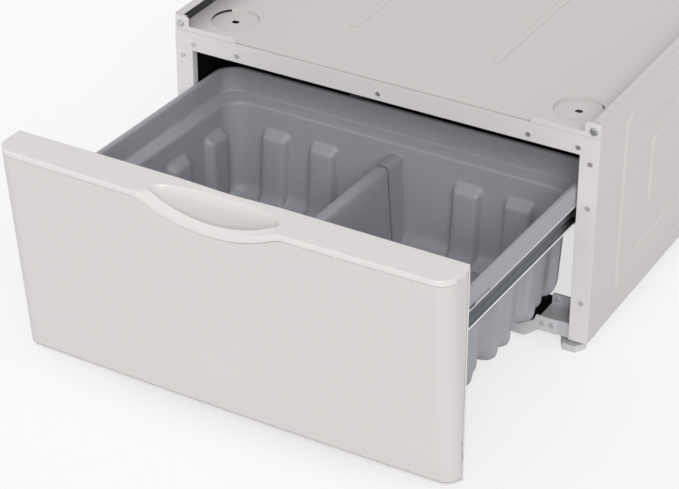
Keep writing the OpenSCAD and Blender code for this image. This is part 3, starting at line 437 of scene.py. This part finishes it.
def rolled(out: int, ring: int) -> float:
    """Angle that a rolled edge has turned through at one of its rings."""
    return min(out, ring - 1) / (ring - 1) * math.pi / 2


# Frame of the runners: the cabinet's face, the height of their centre line there, and their fall.
CABINET_Y = -112.7336
RUNNER_Z = 230.0
SLOPE = math.radians(1.7)


def falling(p: Vector) -> Vector:
    """Turns a point of the runners' falling frame into the row frame, in millimetres."""
    return Vector((p.x, p.y * math.cos(SLOPE) + p.z * math.sin(SLOPE) + CABINET_Y,
                   RUNNER_Z - p.y * math.sin(SLOPE) + p.z * math.cos(SLOPE)))


# ---------------------------------------------------------------- drawer front


@dataclass
class DrawerFront:
    """The leaning drawer front: outer sheet, handle cap, bottom cap and inner panel.

    Sizes are in millimetres, and places are in the frame of the cabinet, whose face is y = 0.

    Attributes:
        half_w: Half the width.
        face_y: The face at the top edge, in the middle.
        back_y: The back of the drawer front.
        top_z: Height of the top.
        low_z: Height of the bottom.
        lean: How far the face falls back from top to bottom.
        corner_r: Radius of the upright corners.
        bow: Bow of the face.
        dip_x: Middle of the dip in the top edge.
        dip_half: Half the width of the dip.
        dip_deep: Depth of the dip.
        dip_end_r: Radius of the dip's ends.
        scoop_slope: Rise of the hollow behind the lip, per millimetre.
        lens_half: Half the length of the finger pocket.
        lens_axis: Distance from the back to the pocket's tips.
        lens_rear: How far the pocket's rear edge bulges from its axis.
        lens_front: How far the pocket's front edge bulges from its axis.
        pocket_deep: Depth of the pocket under the lip.
        cap_band: Height of the cap's edge.
        bottom_band: Height of the bottom cap's edge.
        seam: Gap between the sheet and the caps.
        edge_r: Radius of the cap's edges.
        hem_w: Width of the inner panel's hem.
        cap_wall: Wall of the handle cap.
        bottom_wall: Wall of the bottom cap.
        sheet: Thickness of the sheets.
        outline: Plan of the face, filled in by build.
    """

    half_w: float = 341.5
    face_y: float = -442.4326
    back_y: float = -382.4326
    top_z: float = 368.2733
    low_z: float = 37.2733
    lean: float = 32.0
    corner_r: float = 24.0
    bow: float = 4.0
    dip_x: float = -6.0
    dip_half: float = 117.0
    dip_deep: float = 28.0
    dip_end_r: float = 43.0
    scoop_slope: float = 0.6009
    lens_half: float = 97.0
    lens_axis: float = 41.0
    lens_rear: float = 29.5
    lens_front: float = 9.0
    pocket_deep: float = 26.0
    cap_band: float = 9.0
    bottom_band: float = 4.0
    seam: float = 0.7
    edge_r: float = 2.2
    hem_w: float = 4.0
    cap_wall: float = 1.8
    bottom_wall: float = 1.5
    sheet: float = 0.9
    outline: list[tuple[float, float, float, float]] = field(default_factory=list)

    def build(self) -> None:
        """Makes the four pieces of the drawer front."""
        self.outline = self.front_line()
        self.cap()
        self.skin()
        self.bottom()
        self.panel()

    def front_line(self) -> list[tuple[float, float, float, float]]:
        """Plan of the face from left to right: x, depth behind the face, and outward normal."""
        bow_r = (self.half_w**2 + self.bow**2) / (2 * self.bow)
        x1 = self.half_w - self.corner_r
        bow_a = math.asin(x1 / (bow_r - self.corner_r))
        corner_y = bow_r - (bow_r - self.corner_r) * math.cos(bow_a)
        line = []
        for angle in steps(math.pi, 1.5 * math.pi - bow_a, 12):
            c, s = math.cos(angle), math.sin(angle)
            line.append((-x1 + self.corner_r * c, corner_y + self.corner_r * s, c, s))
        near = steps(self.dip_x - self.dip_half - 10, self.dip_x + self.dip_half + 10, 150)
        for x in merged([*steps(-x1 + 6, x1 - 6, 60), *near], 1.2):
            s = -math.sqrt(bow_r**2 - x * x) / bow_r
            line.append((x, bow_r + bow_r * s, x / bow_r, s))
        for angle in steps(1.5 * math.pi + bow_a, 2 * math.pi, 12):
            c, s = math.cos(angle), math.sin(angle)
            line.append((x1 + self.corner_r * c, corner_y + self.corner_r * s, c, s))
        return line

    def face_at(self, depth: float, z: float) -> float:
        """Y of a point of the plan at a height, on the leaning face."""
        tan = self.lean / (self.top_z - self.low_z)
        return self.face_y + depth * math.hypot(1, tan) + (self.top_z - z) * tan

    def dip(self, x: float) -> float:
        """Depth of the dip in the top edge."""
        u = abs(x - self.dip_x)
        if u >= self.dip_half:
            return 0.0
        wide_r = (self.dip_half**2 + self.dip_deep**2) / (2 * self.dip_deep) - self.dip_end_r
        join = self.dip_half * wide_r / (wide_r + self.dip_end_r)
        if u < join:
            return self.dip_deep - (wide_r - math.sqrt(wide_r**2 - u * u))
        return self.dip_end_r - math.sqrt(self.dip_end_r**2 - (self.dip_half - u) ** 2)

    def hollow(self, x: float, depth: float) -> float:
        """Drop of the cap's top below its highest level, at a depth behind the face."""
        dip = self.dip(x)
        if dip <= 0:
            return 0.0
        above = dip - depth * self.scoop_slope
        blend = 9.0 * dip / self.dip_deep
        edge = (dip + math.hypot(dip, blend)) / 2
        return (above + math.hypot(above, blend)) / 2 * dip / edge

    def lens(self, x: float) -> tuple[float, float]:
        """Front and rear edge of the finger pocket: a lens with round tips, flatter in front."""
        open_part = max(0.0, 1 - ((x - self.dip_x) / self.lens_half) ** 2)
        axis = self.back_y - self.lens_axis
        return (axis - max(0.1, self.lens_front * open_part**0.2 if open_part else 0.0),
                axis + max(0.1, self.lens_rear * open_part**0.454))

    def outward(self, ci: int, cj: int, rows: int) -> Vector:
        """Level direction out of a cap at a point on the edge of its flat part."""
        out = Vector((0, 0, 0))
        if cj == 0:
            out = Vector((self.outline[ci][2], self.outline[ci][3], 0))
        elif ci in (0, len(self.outline) - 1):
            out.x = -1 if ci == 0 else 1
        if cj == rows - 1:
            out.y = 1
        return out

    def cap(self) -> None:
        """The handle cap: a moulded top whose hollow runs smoothly into the finger pocket."""
        ring = 6
        # shares of each stretch from front to rear, closest where the surface turns
        lip = [0, 0.1, 0.25, 0.42, 0.6, 0.78, 0.92]
        pocket = [0, 0.006, 0.014, 0.025, 0.04, 0.12, 0.3, 0.5, 0.62, 0.68, 0.72, 0.76, 0.8,
                  0.84, 0.88, 0.915, 0.94, 0.96, 0.975, 0.988, 1.0]
        rear = [0.12, 0.3, 0.5, 0.75, 1.0]
        line = self.outline
        core_rows = len(lip) + len(pocket) + len(rear)
        columns, rows = len(line) + 2 * ring, core_rows + 2 * ring
        r = self.edge_r

        def core(i: int, j: int) -> Vector:
            x, depth, nx, ny = line[i]
            x -= r * nx
            front_y = self.face_at(depth, self.top_z - self.dip(x)) - r * ny
            (first, second), back = self.lens(x), self.back_y - r
            first, second = max(first, front_y + 0.5), max(second, front_y + 1.0)
            face = self.face_at(depth, self.top_z)
            if j < len(lip):
                y = front_y + (first - front_y) * lip[j]
                return Vector((x, y, self.top_z - self.hollow(x, y - face)))
            j -= len(lip)
            if j < len(pocket):
                t = pocket[j]
                y = first + (second - first) * t
                return Vector((x, y, self.pocket_z(x, t, first - face, second - face)))
            t = rear[j - len(pocket)]
            y = second + (back - second) * t
            return Vector((x, y, self.top_z - self.hollow(x, y - face)))

        def place(i: int, j: int) -> Vector:
            ci, cj, out = inner_point(i, j, len(line), core_rows, ring)
            p = core(ci, cj)
            if out:
                turn = rolled(out, ring)
                p += self.outward(ci, cj, core_rows) * r * math.sin(turn)
                p.z -= r * (1 - math.cos(turn))
                if out == ring:
                    low = self.top_z - self.cap_band - (self.dip(p.x) if cj == 0 else 0)
                    if cj == 0:
                        p.y = self.face_at(line[ci][1], low)
                    p.z = low
            p.y += CABINET_Y
            return p

        piece = shaped_grid("moulded_handle_cap", columns, rows, place)
        thicken(piece, self.cap_wall)
        smooth(piece, 40)
        settle(piece, CAP_ABS, "drawer", "white_plastic", "handle_cap")

    def pocket_z(self, x: float, t: float, first: float, second: float) -> float:
        """Height of the finger pocket: a steep front wall, a floor, and a wall that curves up.

        Args:
            x: Place across the drawer front.
            t: Share of the way from the pocket's front edge to its rear edge.
            first: Depth of the front edge behind the face.
            second: Depth of the rear edge behind the face.

        Returns:
            The height in millimetres.
        """
        wall_end, rise_start = 0.04, 0.68
        rim_front = self.top_z - self.hollow(x, first)
        rim_back = self.top_z - self.hollow(x, second)
        u = min(1.0, abs(x - self.dip_x) / self.lens_half)
        floor = rim_front - self.pocket_deep * (1 - u * u) ** 0.4
        if t <= wall_end:
            return rim_front + (floor - rim_front) * (1 - math.cos(t / wall_end * math.pi / 2))
        rise = max(0.0, (t - rise_start) / (1 - rise_start))
        return floor + (rim_back - floor) * (1 - (1 - rise) ** 1.35)

    def skin(self) -> None:
        """The outer sheet, rolled inwards at its top and bottom edges."""
        roll, overlap = 1.1, 0.35
        line = self.outline
        sides = [0.0, 0.4, 0.8]
        columns = len(line) + 2 * len(sides)
        turns = steps(0, math.pi / 2, 4)
        between = steps(0, 1, 14)
        rows = 2 * len(turns) + len(between) - 2
        rear = self.back_y - self.hem_w - overlap

        def place(i: int, j: int) -> Vector:
            k = min(max(i - len(sides), 0), len(line) - 1)
            x, depth, nx, ny = line[k]
            high = self.top_z - self.dip(x) - self.cap_band - self.seam
            low = self.low_z + self.bottom_band + self.seam
            inset = 0.0
            if j < len(turns):
                inset, z = roll * (1 - math.sin(turns[j])), high - roll + roll * math.cos(turns[j])
            elif j >= rows - len(turns):
                turn = turns[rows - 1 - j]
                inset, z = roll * (1 - math.sin(turn)), low + roll - roll * math.cos(turn)
            else:
                t = between[j - len(turns) + 1]
                z = (high - roll) + (low - high + 2 * roll) * t
            p = Vector((x - inset * nx, self.face_at(depth, z) - inset * ny, z))
            if i < len(sides):
                p.y = rear + (p.y - rear) * sides[i]
            elif i >= columns - len(sides):
                p.y = rear + (p.y - rear) * sides[columns - 1 - i]
            p.y += CABINET_Y
            return p

        piece = shaped_grid("folded_front_sheet", columns, rows, place, flip=True)
        thicken(piece, self.sheet)
        smooth(piece, 50)
        settle(piece, FRONT_ENAMEL, "drawer", "white_paint", "drawer_front_skin")

    def bottom(self) -> None:
        """The bottom cap: a shallow moulded tray with a round lower edge."""
        ring = 5
        line = self.outline
        core_rows = 4
        columns, rows = len(line) + 2 * ring, core_rows + 2 * ring
        r = 1.8

        def place(i: int, j: int) -> Vector:
            ci, cj, out = inner_point(i, j, len(line), core_rows, ring)
            x, depth, nx, ny = line[ci]
            front = self.face_at(depth, self.low_z) - r * ny
            back = self.back_y - r
            p = Vector((x - r * nx, front + (back - front) * cj / (core_rows - 1), self.low_z))
            if out:
                turn = rolled(out, ring)
                p += self.outward(ci, cj, core_rows) * r * math.sin(turn)
                p.z += r * (1 - math.cos(turn))
                if out == ring:
                    p.z = self.low_z + self.bottom_band - 0.2
                    if cj == 0:
                        p.y = self.face_at(depth, p.z)
            p.y += CABINET_Y
            return p

        piece = shaped_grid("moulded_bottom_cap", columns, rows, place, flip=True)
        thicken(piece, self.bottom_wall)
        smooth(piece, 40)
        settle(piece, CAP_ABS, "drawer", "white_plastic", "bottom_cap")

    def panel(self) -> None:
        """The inner panel: a sheet with a narrow folded hem all round."""
        ring = 5
        xs = steps(-1, 1, 24)
        zs = steps(0, 1, 12)
        columns, rows = len(xs) + 2 * ring, len(zs) + 2 * ring
        r = 1.3
        low, high = self.low_z + self.bottom_band, self.top_z - self.cap_band - 0.5

        def place(i: int, j: int) -> Vector:
            ci, cj, out = inner_point(i, j, len(xs), len(zs), ring)
            p = Vector((xs[ci] * (self.half_w - r), self.back_y,
                        low + r + (high - low - 2 * r) * zs[cj]))
            if out:
                side = (ci == len(xs) - 1) - (ci == 0)
                up = (cj == len(zs) - 1) - (cj == 0)
                turn = rolled(out, ring)
                p += Vector((side, 0, up)) * r * math.sin(turn)
                p.y -= r * (1 - math.cos(turn))
                if out == ring:
                    p.y = self.back_y - self.hem_w
            p.y += CABINET_Y
            return p

        piece = shaped_grid("folded_inner_panel", columns, rows, place)
        thicken(piece, self.sheet)
        smooth(piece, 50)
        settle(piece, LIT_FRAME_ENAMEL, "drawer", "white_paint", "drawer_inner_panel")


# ---------------------------------------------------------------- bin


@dataclass
class MouldedBin:
    """The storage bin: one moulded shell with a folded rim, a ledge, pillars and a ribbed floor.

    Sizes are in millimetres, in the falling frame of the runners: the origin lies between them on
    their centre line at the cabinet's face. The wall's path runs from the flat floor up the walls
    and over the rim; its points are given by the distance inwards from the outside of the skirt,
    and a height.

    Attributes:
        half_w: Half the width.
        front_y: Front of the bin.
        length: Length of the bin.
        wall: Thickness.
        skirt_z: Height of the skirt over the runners' centre line.
        skirt_split: Where the front part of the skirt ends; it is shorter than the rear part.
        skirt_cut: How much shorter it is.
        pillar_in: How far the pillars stand out from the wall.
        pillar_top: Height of the pillars' tops.
        side_pitch: Distance between the pillars of a side.
        side_half: Half the width of the pillars of a side.
        end_half: Half the width of the front and rear pillars.
        end_pillars: Places of the front and rear pillars.
        rib_pitch: Distance between the floor's ribs.
        ribs: Number of ribs.
        rib_deep: Depth of the ribs.
        rib_half: Half the width of a rib.
        floor_z: Height of the floor.
        divider_top: Height of the divider.
        corner_steps: Steps of half an upright corner.
        corner_span: Length of a side that its corners may take up.
        nearest: Least distance between two places along an axis.
        path: Path of the wall, filled in by build.
        xs: Places across the bin, filled in by build.
        ys: Places along the bin, filled in by build.
    """

    half_w: float = 312.1
    front_y: float = -382.1
    length: float = 468.0
    wall: float = 2.5
    skirt_z: float = 14.5
    skirt_split: float = -263.0
    skirt_cut: float = 6.1
    pillar_in: float = 13.0
    pillar_top: float = -31.0
    side_pitch: float = 101.0
    side_half: float = 26.0
    end_half: float = 24.0
    end_pillars: tuple[float, ...] = (-203.6, -120.6, 120.6, 203.6)
    rib_pitch: float = 38.5
    ribs: int = 10
    rib_deep: float = 6.0
    rib_half: float = 11.5
    floor_z: float = -154.0
    divider_top: float = -18.0
    corner_steps: int = 6
    corner_span: float = 66.0
    nearest: float = 1.7
    path: list[tuple[float, float, float]] = field(default_factory=list)
    xs: list[float] = field(default_factory=list)
    ys: list[float] = field(default_factory=list)

    def build(self) -> None:
        """Makes the bin."""
        self.path = self.wall_path()
        self.xs = self.stations(self.half_w, self.cross_details())
        self.ys = self.stations(self.length / 2, self.long_details())
        rings = len(self.path)
        piece = shaped_grid("moulded_bin", len(self.xs) + 2 * rings, len(self.ys) + 2 * rings,
                            self.place)
        thicken(piece, self.wall, 0.0)
        smooth(piece, 50)
        settle(piece, BIN_POLYPROPYLENE, "drawer", "grey_plastic", "drawer_bin")

    def wall_path(self) -> list[tuple[float, float, float]]:
        """Path from the floor to the skirt.

        Returns:
            For each point the distance inwards, the height, and the share of the turn from floor
            to wall that lies behind it.
        """
        path = [(72.0, self.floor_z, 0.0)]
        foot = arc(56.1, -130, 24, 270, 182.5, 9)
        path += [(o, z, k / 9) for k, (o, z, _) in enumerate(foot)]
        for z in (-115, -95, -75, -60, -52, -48, -45.5, -43, -40, -37, -34.5, -32.5, -31, -28, -16,
                  -9):
            path.append((26.47 + (-3 - z) * math.tan(math.radians(2.5)), z, 1.0))
        path += arc(22.4, -4.2, 4, 0, 63, 5) + arc(15.0, 9.3, 4.5, 243, 180, 5)
        path += [(10.2, 16, 1.0), (9.6, 30, 1.0)]
        path += arc(6.3, 39.7, 3, 0, 90, 4) + arc(6.0, 37.95, 4.75, 90, 180, 4)
        return [*path, (1.25, 26, 1.0), (1.25, self.skirt_z, 1.0)]

    def cross_details(self) -> list[float]:
        """Places across the bin where the shape changes."""
        edges = [s * x for s in (-1, 1)
                 for x in (32, 26, 22.5, 20.6, 18.4, 16.2, 14, 11.6, 9.4, 7.6, 5.5, 2.5)]
        flutes = [x + s * d for x in self.end_pillars for s in (-1, 1)
                  for d in (self.end_half + 2, self.end_half, self.end_half - 2,
                            self.end_half - 4, self.end_half - 6, self.end_half - 8, 8)]
        return [0.0, *edges, *flutes, -160, 160, -75, 75, -50, 50]

    def long_details(self) -> list[float]:
        """Places along the bin where the shape changes."""
        ribs = [k * self.rib_pitch + d for k in self.rib_places()
                for d in (-11.5, -10, -8, -5, 0, 5, 8, 10, 11.5)]
        flutes = [y + s * d for y in self.side_places() for s in (-1, 1)
                  for d in (self.side_half + 2, self.side_half, self.side_half - 2.5,
                            self.side_half - 5, self.side_half - 7.5)]
        return ribs + flutes

    def rib_places(self) -> list[float]:
        """Ribs, as numbers of pitches from the middle."""
        return [k - (self.ribs - 1) / 2 for k in range(self.ribs)]

    def side_places(self) -> list[float]:
        """Pillars of a side, from the middle of the bin."""
        return [(k - 1.5) * self.side_pitch for k in range(4)]

    def stations(self, half: float, details: list[float]) -> list[float]:
        """Places along one axis: those of the two corners, and the details between them."""
        limit, k = half - self.corner_span, self.corner_steps
        inner = merged([v for v in details if abs(v) < limit], self.nearest)
        return [*[-half] * k, -limit, *inner, limit, *[half] * k]

    def place(self, i: int, j: int) -> Vector:
        """Point of the bin's middle surface."""
        rings, k = len(self.path), self.corner_steps
        nx, ny = len(self.xs), len(self.ys)
        ci, cj, out = inner_point(i, j, nx, ny, rings)
        o, z, turn = self.path[max(out - 1, 0)]
        edge = out > 0 or ci in (0, nx - 1) or cj in (0, ny - 1)
        r = self.corner_radius(o)
        x = self.spot(ci, self.half_w, o, r, self.xs)
        y = self.spot(cj, self.length / 2, o, r, self.ys)
        inward = Vector((0, 0, 0))
        if edge:
            near_x, near_y = self.end_of(ci, nx), self.end_of(cj, ny)
            sx, sy = (1 if ci > nx / 2 else -1), (1 if cj > ny / 2 else -1)
            if near_x <= k and near_y <= k:
                steps_round = near_x if near_y == 0 else -near_y
                a = math.radians(45 + 45 * steps_round / k)
                x = sx * (self.half_w - o - r + r * math.cos(a))
                y = sy * (self.length / 2 - o - r + r * math.sin(a))
                inward = Vector((-sx * math.cos(a), -sy * math.sin(a), 0))
            elif near_x == 0:
                x, inward = sx * (self.half_w - o), Vector((-sx, 0, 0))
            else:
                y, inward = sy * (self.length / 2 - o), Vector((0, -sy, 0))
        else:
            z, turn = self.floor_z, 0.0
        return self.shape(x, y, z, turn, inward)

    @staticmethod
    def end_of(c: int, count: int) -> int:
        """Number of stations from the nearer end."""
        return min(c, count - 1 - c)

    @staticmethod
    def corner_radius(o: float) -> float:
        """Radius of the upright corners at a distance inwards."""
        if o < 11:
            return 38 - o
        if o < 26.5:
            return 27 + (36 - 27) * (o - 11) / 15.5
        return max(4.0, 62.5 - o)

    def spot(self, c: int, half: float, o: float, r: float, places: list[float]) -> float:
        """Coordinate of a station, drawn in towards the corner's arc near the ends.

        Args:
            c: Number of the station.
            half: Half the bin's size along the axis.
            o: Distance inwards of the wall's path.
            r: Radius of the upright corner there.
            places: The stations of the axis.

        Returns:
            The coordinate from the middle of the bin.
        """
        near, k = self.end_of(c, len(places)), self.corner_steps
        if near > k:
            return places[c]
        side = 1 if c > len(places) / 2 else -1
        a = math.radians(45 + 45 * near / k)
        if near == k:
            return side * (half - max(o + r, self.corner_span))
        return side * (half - o - r + r * math.cos(a))

    def shape(self, x: float, y: float, z: float, turn: float, inward: Vector) -> Vector:
        """Adds pillars, ribs and the divider to a point of the plain shell, and leans the bin.

        Args:
            x: Place across the bin, from its middle.
            y: Place along the bin, from its middle.
            z: Height.
            turn: Share of the turn from floor to wall, 1 on the wall.
            inward: Level direction into the bin, or zero on the floor.

        Returns:
            The point in the row frame.
        """
        if inward.x and not inward.y:
            depth = self.pillar(y, z, self.side_places(), self.side_half)
            x += inward.x * depth
        elif inward.y and not inward.x:
            depth = self.pillar(x, z, self.end_pillars, self.end_half)
            y += inward.y * depth
        if turn < 1:
            z -= self.rib(x, y) * (1 - turn**2.0)
            if inward.x and not inward.y:
                x -= inward.x * self.rib(x, y) * math.sin(turn * math.pi)
        hump = self.hump(x)
        if z < hump:
            z = hump
        at_y = y + self.front_y + self.length / 2
        if z == self.skirt_z and inward.x and at_y < self.skirt_split:
            z += self.skirt_cut
        return falling(Vector((x, at_y, z)))

    def pillar(self, along: float, z: float, places: Sequence[float], half: float) -> float:
        """How far the pillars push a point of the wall inwards."""
        if z > self.pillar_top:
            return 0.0
        across = min(abs(along - p) for p in places)
        side = 1 - min(1.0, max(0.0, (half + 1 - across) / 8.5))
        top = 1 - min(1.0, (self.pillar_top - z) / 16)
        rise = max(0.0, 1 - math.hypot(side, top))
        return self.pillar_in * rise * rise * (3 - 2 * rise)

    def rib(self, x: float, y: float) -> float:
        """Depth of the floor's troughs at a point."""
        v = min(abs(y - k * self.rib_pitch) for k in self.rib_places())
        if v > self.rib_half:
            return 0.0
        return self.rib_deep * math.cos(v / self.rib_half * math.pi / 2) ** 1.3

    def hump(self, x: float) -> float:
        """Height of the divider's surface."""
        u, top, low = abs(x), self.divider_top, self.floor_z
        # beyond its foot at 26 mm the surface falls away, far under the floor
        points = [(0, top), (5.5, top), (7.6, top - 1.1), (8.8, top - 3.2), (9.4, top - 6),
                  (20.6, -148), (22.5, -152), (26, low), (1000, low - 50)]
        for (u0, z0), (u1, z1) in zip(points, points[1:]):
            if u <= u1:
                return z0 + (z1 - z0) * (u - u0) / (u1 - u0)
        return low - 50


# ---------------------------------------------------------------- runners


@dataclass
class RunnerTrim:
    """Rolled details of a drawer runner: the track on its web and the lip of its lower flange.

    Sizes are in millimetres, in the falling frame of the runners.

    Attributes:
        side: 1 for the right runner and -1 for the left.
        start: Front of the runner.
        length: Length of the runner.
        web_x: Outer face of the web.
        edge_x: Outer edge of the flanges.
    """

    side: int
    start: float = -381.6
    length: float = 500.0
    web_x: float = 304.9
    edge_x: float = 312.1

    def build(self) -> None:
        """Makes the track and the lip."""
        name = "right" if self.side > 0 else "left"
        track = [(0.0, 9.6), (0.35, 9.4), (0.35, 6.6), (0.05, 6.3), (0.05, 4.9), (0.35, 4.6),
                 (0.35, 1.0), (0.05, 0.7), (0.05, -4.2), (0.35, -4.5), (0.35, -6.4), (0.0, -6.6)]
        # the track's dark grey is painted shade in the recess of the web
        self.strip(f"{name}_runner_track", self.web_x, track, SHADED_TRACK_STEEL)
        # the lip and the upper edge are painted near white as highlights
        lip = [(-0.5, -15.05), (0.05, -15.1), (0.3, -14.9), (0.42, -14.4), (0.4, -13.4),
               (0.1, -12.8), (-0.5, -12.4)]
        self.strip(f"{name}_runner_lip", self.edge_x, lip, HIGHLIGHT_ZINC)
        rim = [(-0.4, 15.05), (0.05, 15.1), (0.25, 14.9), (0.3, 14.4), (0.05, 13.9),
               (-0.3, 13.75)]
        self.strip(f"{name}_runner_edge", self.edge_x, rim, HIGHLIGHT_ZINC)

    def strip(self, name: str, x: float, profile: list[tuple[float, float]],
              finish: Finish) -> None:
        """Rolls one profile along the runner."""
        ends = [self.start + 1, self.start + self.length / 2, self.start + self.length - 1]

        def place(i: int, j: int) -> Vector:
            out, z = profile[j]
            return falling(Vector((self.side * (x + out), ends[i], z)))

        piece = shaped_grid(name, len(ends), len(profile), place, flip=self.side < 0)
        thicken(piece, 0.3)
        smooth(piece, 40)
        settle(piece, finish, "drawer", "zinc_steel")


# ---------------------------------------------------------------- studio


@dataclass
class Studio:
    """Pale floor, soft lamps and the camera.

    Attributes:
        eye: Place of the camera, in metres.
        yaw: Turn of the camera about Z, in radians.
        pitch: How far the camera looks down, in radians.
        lens: Focal length for a sensor 36 mm wide.
        floor_white: Share of pure white in the floor that the camera sees.
        painted_shade_spot: Middle of a strip of painted shade on the floor, under the rear of the
            cabinet.
        painted_shade_half: Half the size of the strip.
        painted_shade_ramp: How fast the painted shade fades out, in 1/m.
        sky: Strength of the light from all round.
        key_strength: Strength of the lamp in front.
        fill_strength: Strength of the lamp on the left.
    """

    eye: tuple[float, float, float] = (1.37694, -2.61353, 1.8463)
    yaw: float = 0.5225
    pitch: float = 0.5525
    lens: float = 120.57
    floor_white: float = 0.7
    painted_shade_spot: tuple[float, float, float] = (-0.125, 0.43, 0.0)
    painted_shade_half: tuple[float, float, float] = (0.244, 0.062, 1.0)
    painted_shade_ramp: float = 60.0
    sky: float = 0.55
    key_strength: float = 1.55
    fill_strength: float = 0.25

    def build(self) -> None:
        """Makes the floor, the light and the camera."""
        self.floor()
        self.world()
        self.lamp("key", (1.6, -2.5, 2.2), self.key_strength, 32.0)
        self.lamp("fill", (-1.6, -1.2, 2.4), self.fill_strength, 70.0)
        self.camera()

    def floor(self) -> None:
        """A wide pale floor that keeps the shadow, with a strip of painted shade under the rear of
        the cabinet.
        """
        bpy.ops.object.select_all(action="DESELECT")
        bpy.ops.mesh.primitive_plane_add(size=30, location=(0, 0, -0.0002))
        floor = bpy.context.object
        floor.name = "floor"
        material = bpy.data.materials.new("studio_floor")
        tree = empty_tree(material)
        rays = add_node(tree, "ShaderNodeLightPath")
        seen = add_node(tree, "ShaderNodeMath", {"operation": "MULTIPLY", 1: self.floor_white},
                        {0: rays.outputs["Is Camera Ray"]})
        away = self.outside(tree)
        seen = add_node(tree, "ShaderNodeMath", {"operation": "MULTIPLY"},
                        {0: seen.outputs[0], 1: away.outputs[0]})
        # painted shade: on the strip under the cabinet's rear the floor turns dark grey and loses
        # its white
        dark, pale = 0.08, 0.93
        grey = add_node(tree, "ShaderNodeMath",
                        {"operation": "MULTIPLY_ADD", 1: pale - dark, 2: dark},
                        {0: away.outputs[0]})
        paper = add_node(tree, "ShaderNodeBsdfDiffuse", {}, {"Color": grey.outputs[0]})
        white = add_node(tree, "ShaderNodeEmission", {"Color": (1, 1, 1, 1), "Strength": 1.0})
        mix = add_node(tree, "ShaderNodeMixShader", {}, {
            0: seen.outputs[0], 1: paper.outputs[0], 2: white.outputs[0]})
        add_node(tree, "ShaderNodeOutputMaterial", {}, {"Surface": mix.outputs[0]})
        floor.data.materials.append(material)

    def outside(self, tree: Tree) -> bpy.types.Node:
        """Mask of the painted shade: 1 on the open floor and 0 on the strip of painted shade, which
        shows over the bin's rear rim.
        """
        place = add_node(tree, "ShaderNodeTexCoord").outputs["Object"]
        away = add_node(tree, "ShaderNodeVectorMath", {"operation": "SUBTRACT", 1: self.painted_shade_spot},
                        {0: place})
        away = add_node(tree, "ShaderNodeVectorMath", {"operation": "ABSOLUTE"},
                        {0: away.outputs[0]})
        away = add_node(tree, "ShaderNodeVectorMath", {"operation": "SUBTRACT", 1: self.painted_shade_half},
                        {0: away.outputs[0]})
        parts = add_node(tree, "ShaderNodeSeparateXYZ", {}, {0: away.outputs[0]})
        far = add_node(tree, "ShaderNodeMath", {"operation": "MAXIMUM"},
                       {0: parts.outputs[0], 1: parts.outputs[1]})
        return add_node(tree, "ShaderNodeMath",
                        {"operation": "MULTIPLY_ADD", "use_clamp": True, 1: self.painted_shade_ramp, 2: 1.0},
                        {0: far.outputs[0]})

    def world(self) -> None:
        """Even white light from all round; the camera and reflections see white."""
        world = bpy.data.worlds.new("studio_world")
        bpy.context.scene.world = world
        tree = empty_tree(world)
        rays = add_node(tree, "ShaderNodeLightPath")
        seen = add_node(tree, "ShaderNodeMath", {"operation": "MAXIMUM"},
                        {0: rays.outputs["Is Camera Ray"], 1: rays.outputs["Is Glossy Ray"]})
        level = add_node(tree, "ShaderNodeMath",
                         {"operation": "MULTIPLY_ADD", 1: 1.0 - self.sky, 2: self.sky},
                         {0: seen.outputs[0]})
        back = add_node(tree, "ShaderNodeBackground", {"Color": (1, 1, 1, 1)},
                        {"Strength": level.outputs[0]})
        add_node(tree, "ShaderNodeOutputWorld", {}, {"Surface": back.outputs[0]})

    def lamp(self, name: str, place: tuple[float, float, float], strength: float,
             spread: float) -> None:
        """Adds a far, soft lamp: its strength, and the angle that it fills in degrees."""
        data = bpy.data.lights.new(name, "SUN")
        data.energy = strength
        data.angle = math.radians(spread)
        lamp = bpy.data.objects.new(name, data)
        bpy.context.scene.collection.objects.link(lamp)
        lamp.location = place
        aim = Vector((0, -0.1, 0.2)) - Vector(place)
        lamp.rotation_euler = aim.to_track_quat("-Z", "Y").to_euler()

    def camera(self) -> None:
        """Sets the camera at the photograph's place."""
        data = bpy.data.cameras.new("photo_camera")
        data.lens = self.lens
        data.sensor_width = 36.0
        data.clip_start, data.clip_end = 0.05, 60.0
        camera = bpy.data.objects.new("photo_camera", data)
        bpy.context.scene.collection.objects.link(camera)
        ahead = Vector((-math.sin(self.yaw) * math.cos(self.pitch),
                        math.cos(self.yaw) * math.cos(self.pitch), -math.sin(self.pitch)))
        right = Vector((math.cos(self.yaw), math.sin(self.yaw), 0))
        up = right.cross(ahead)
        camera.location = self.eye
        camera.rotation_euler = Matrix((right, up, -ahead)).transposed().to_euler()
        bpy.context.scene.camera = camera


def main() -> None:
    """Builds the scene in order."""
    logging.basicConfig(level=logging.INFO, format="%(message)s")
    bpy.context.scene.view_settings.view_transform = "Standard"
    dress_nodes()
    DrawerFront().build()
    MouldedBin().build()
    RunnerTrim(1).build()
    RunnerTrim(-1).build()
    Studio().build()


if __name__ == "__main__":
    main()
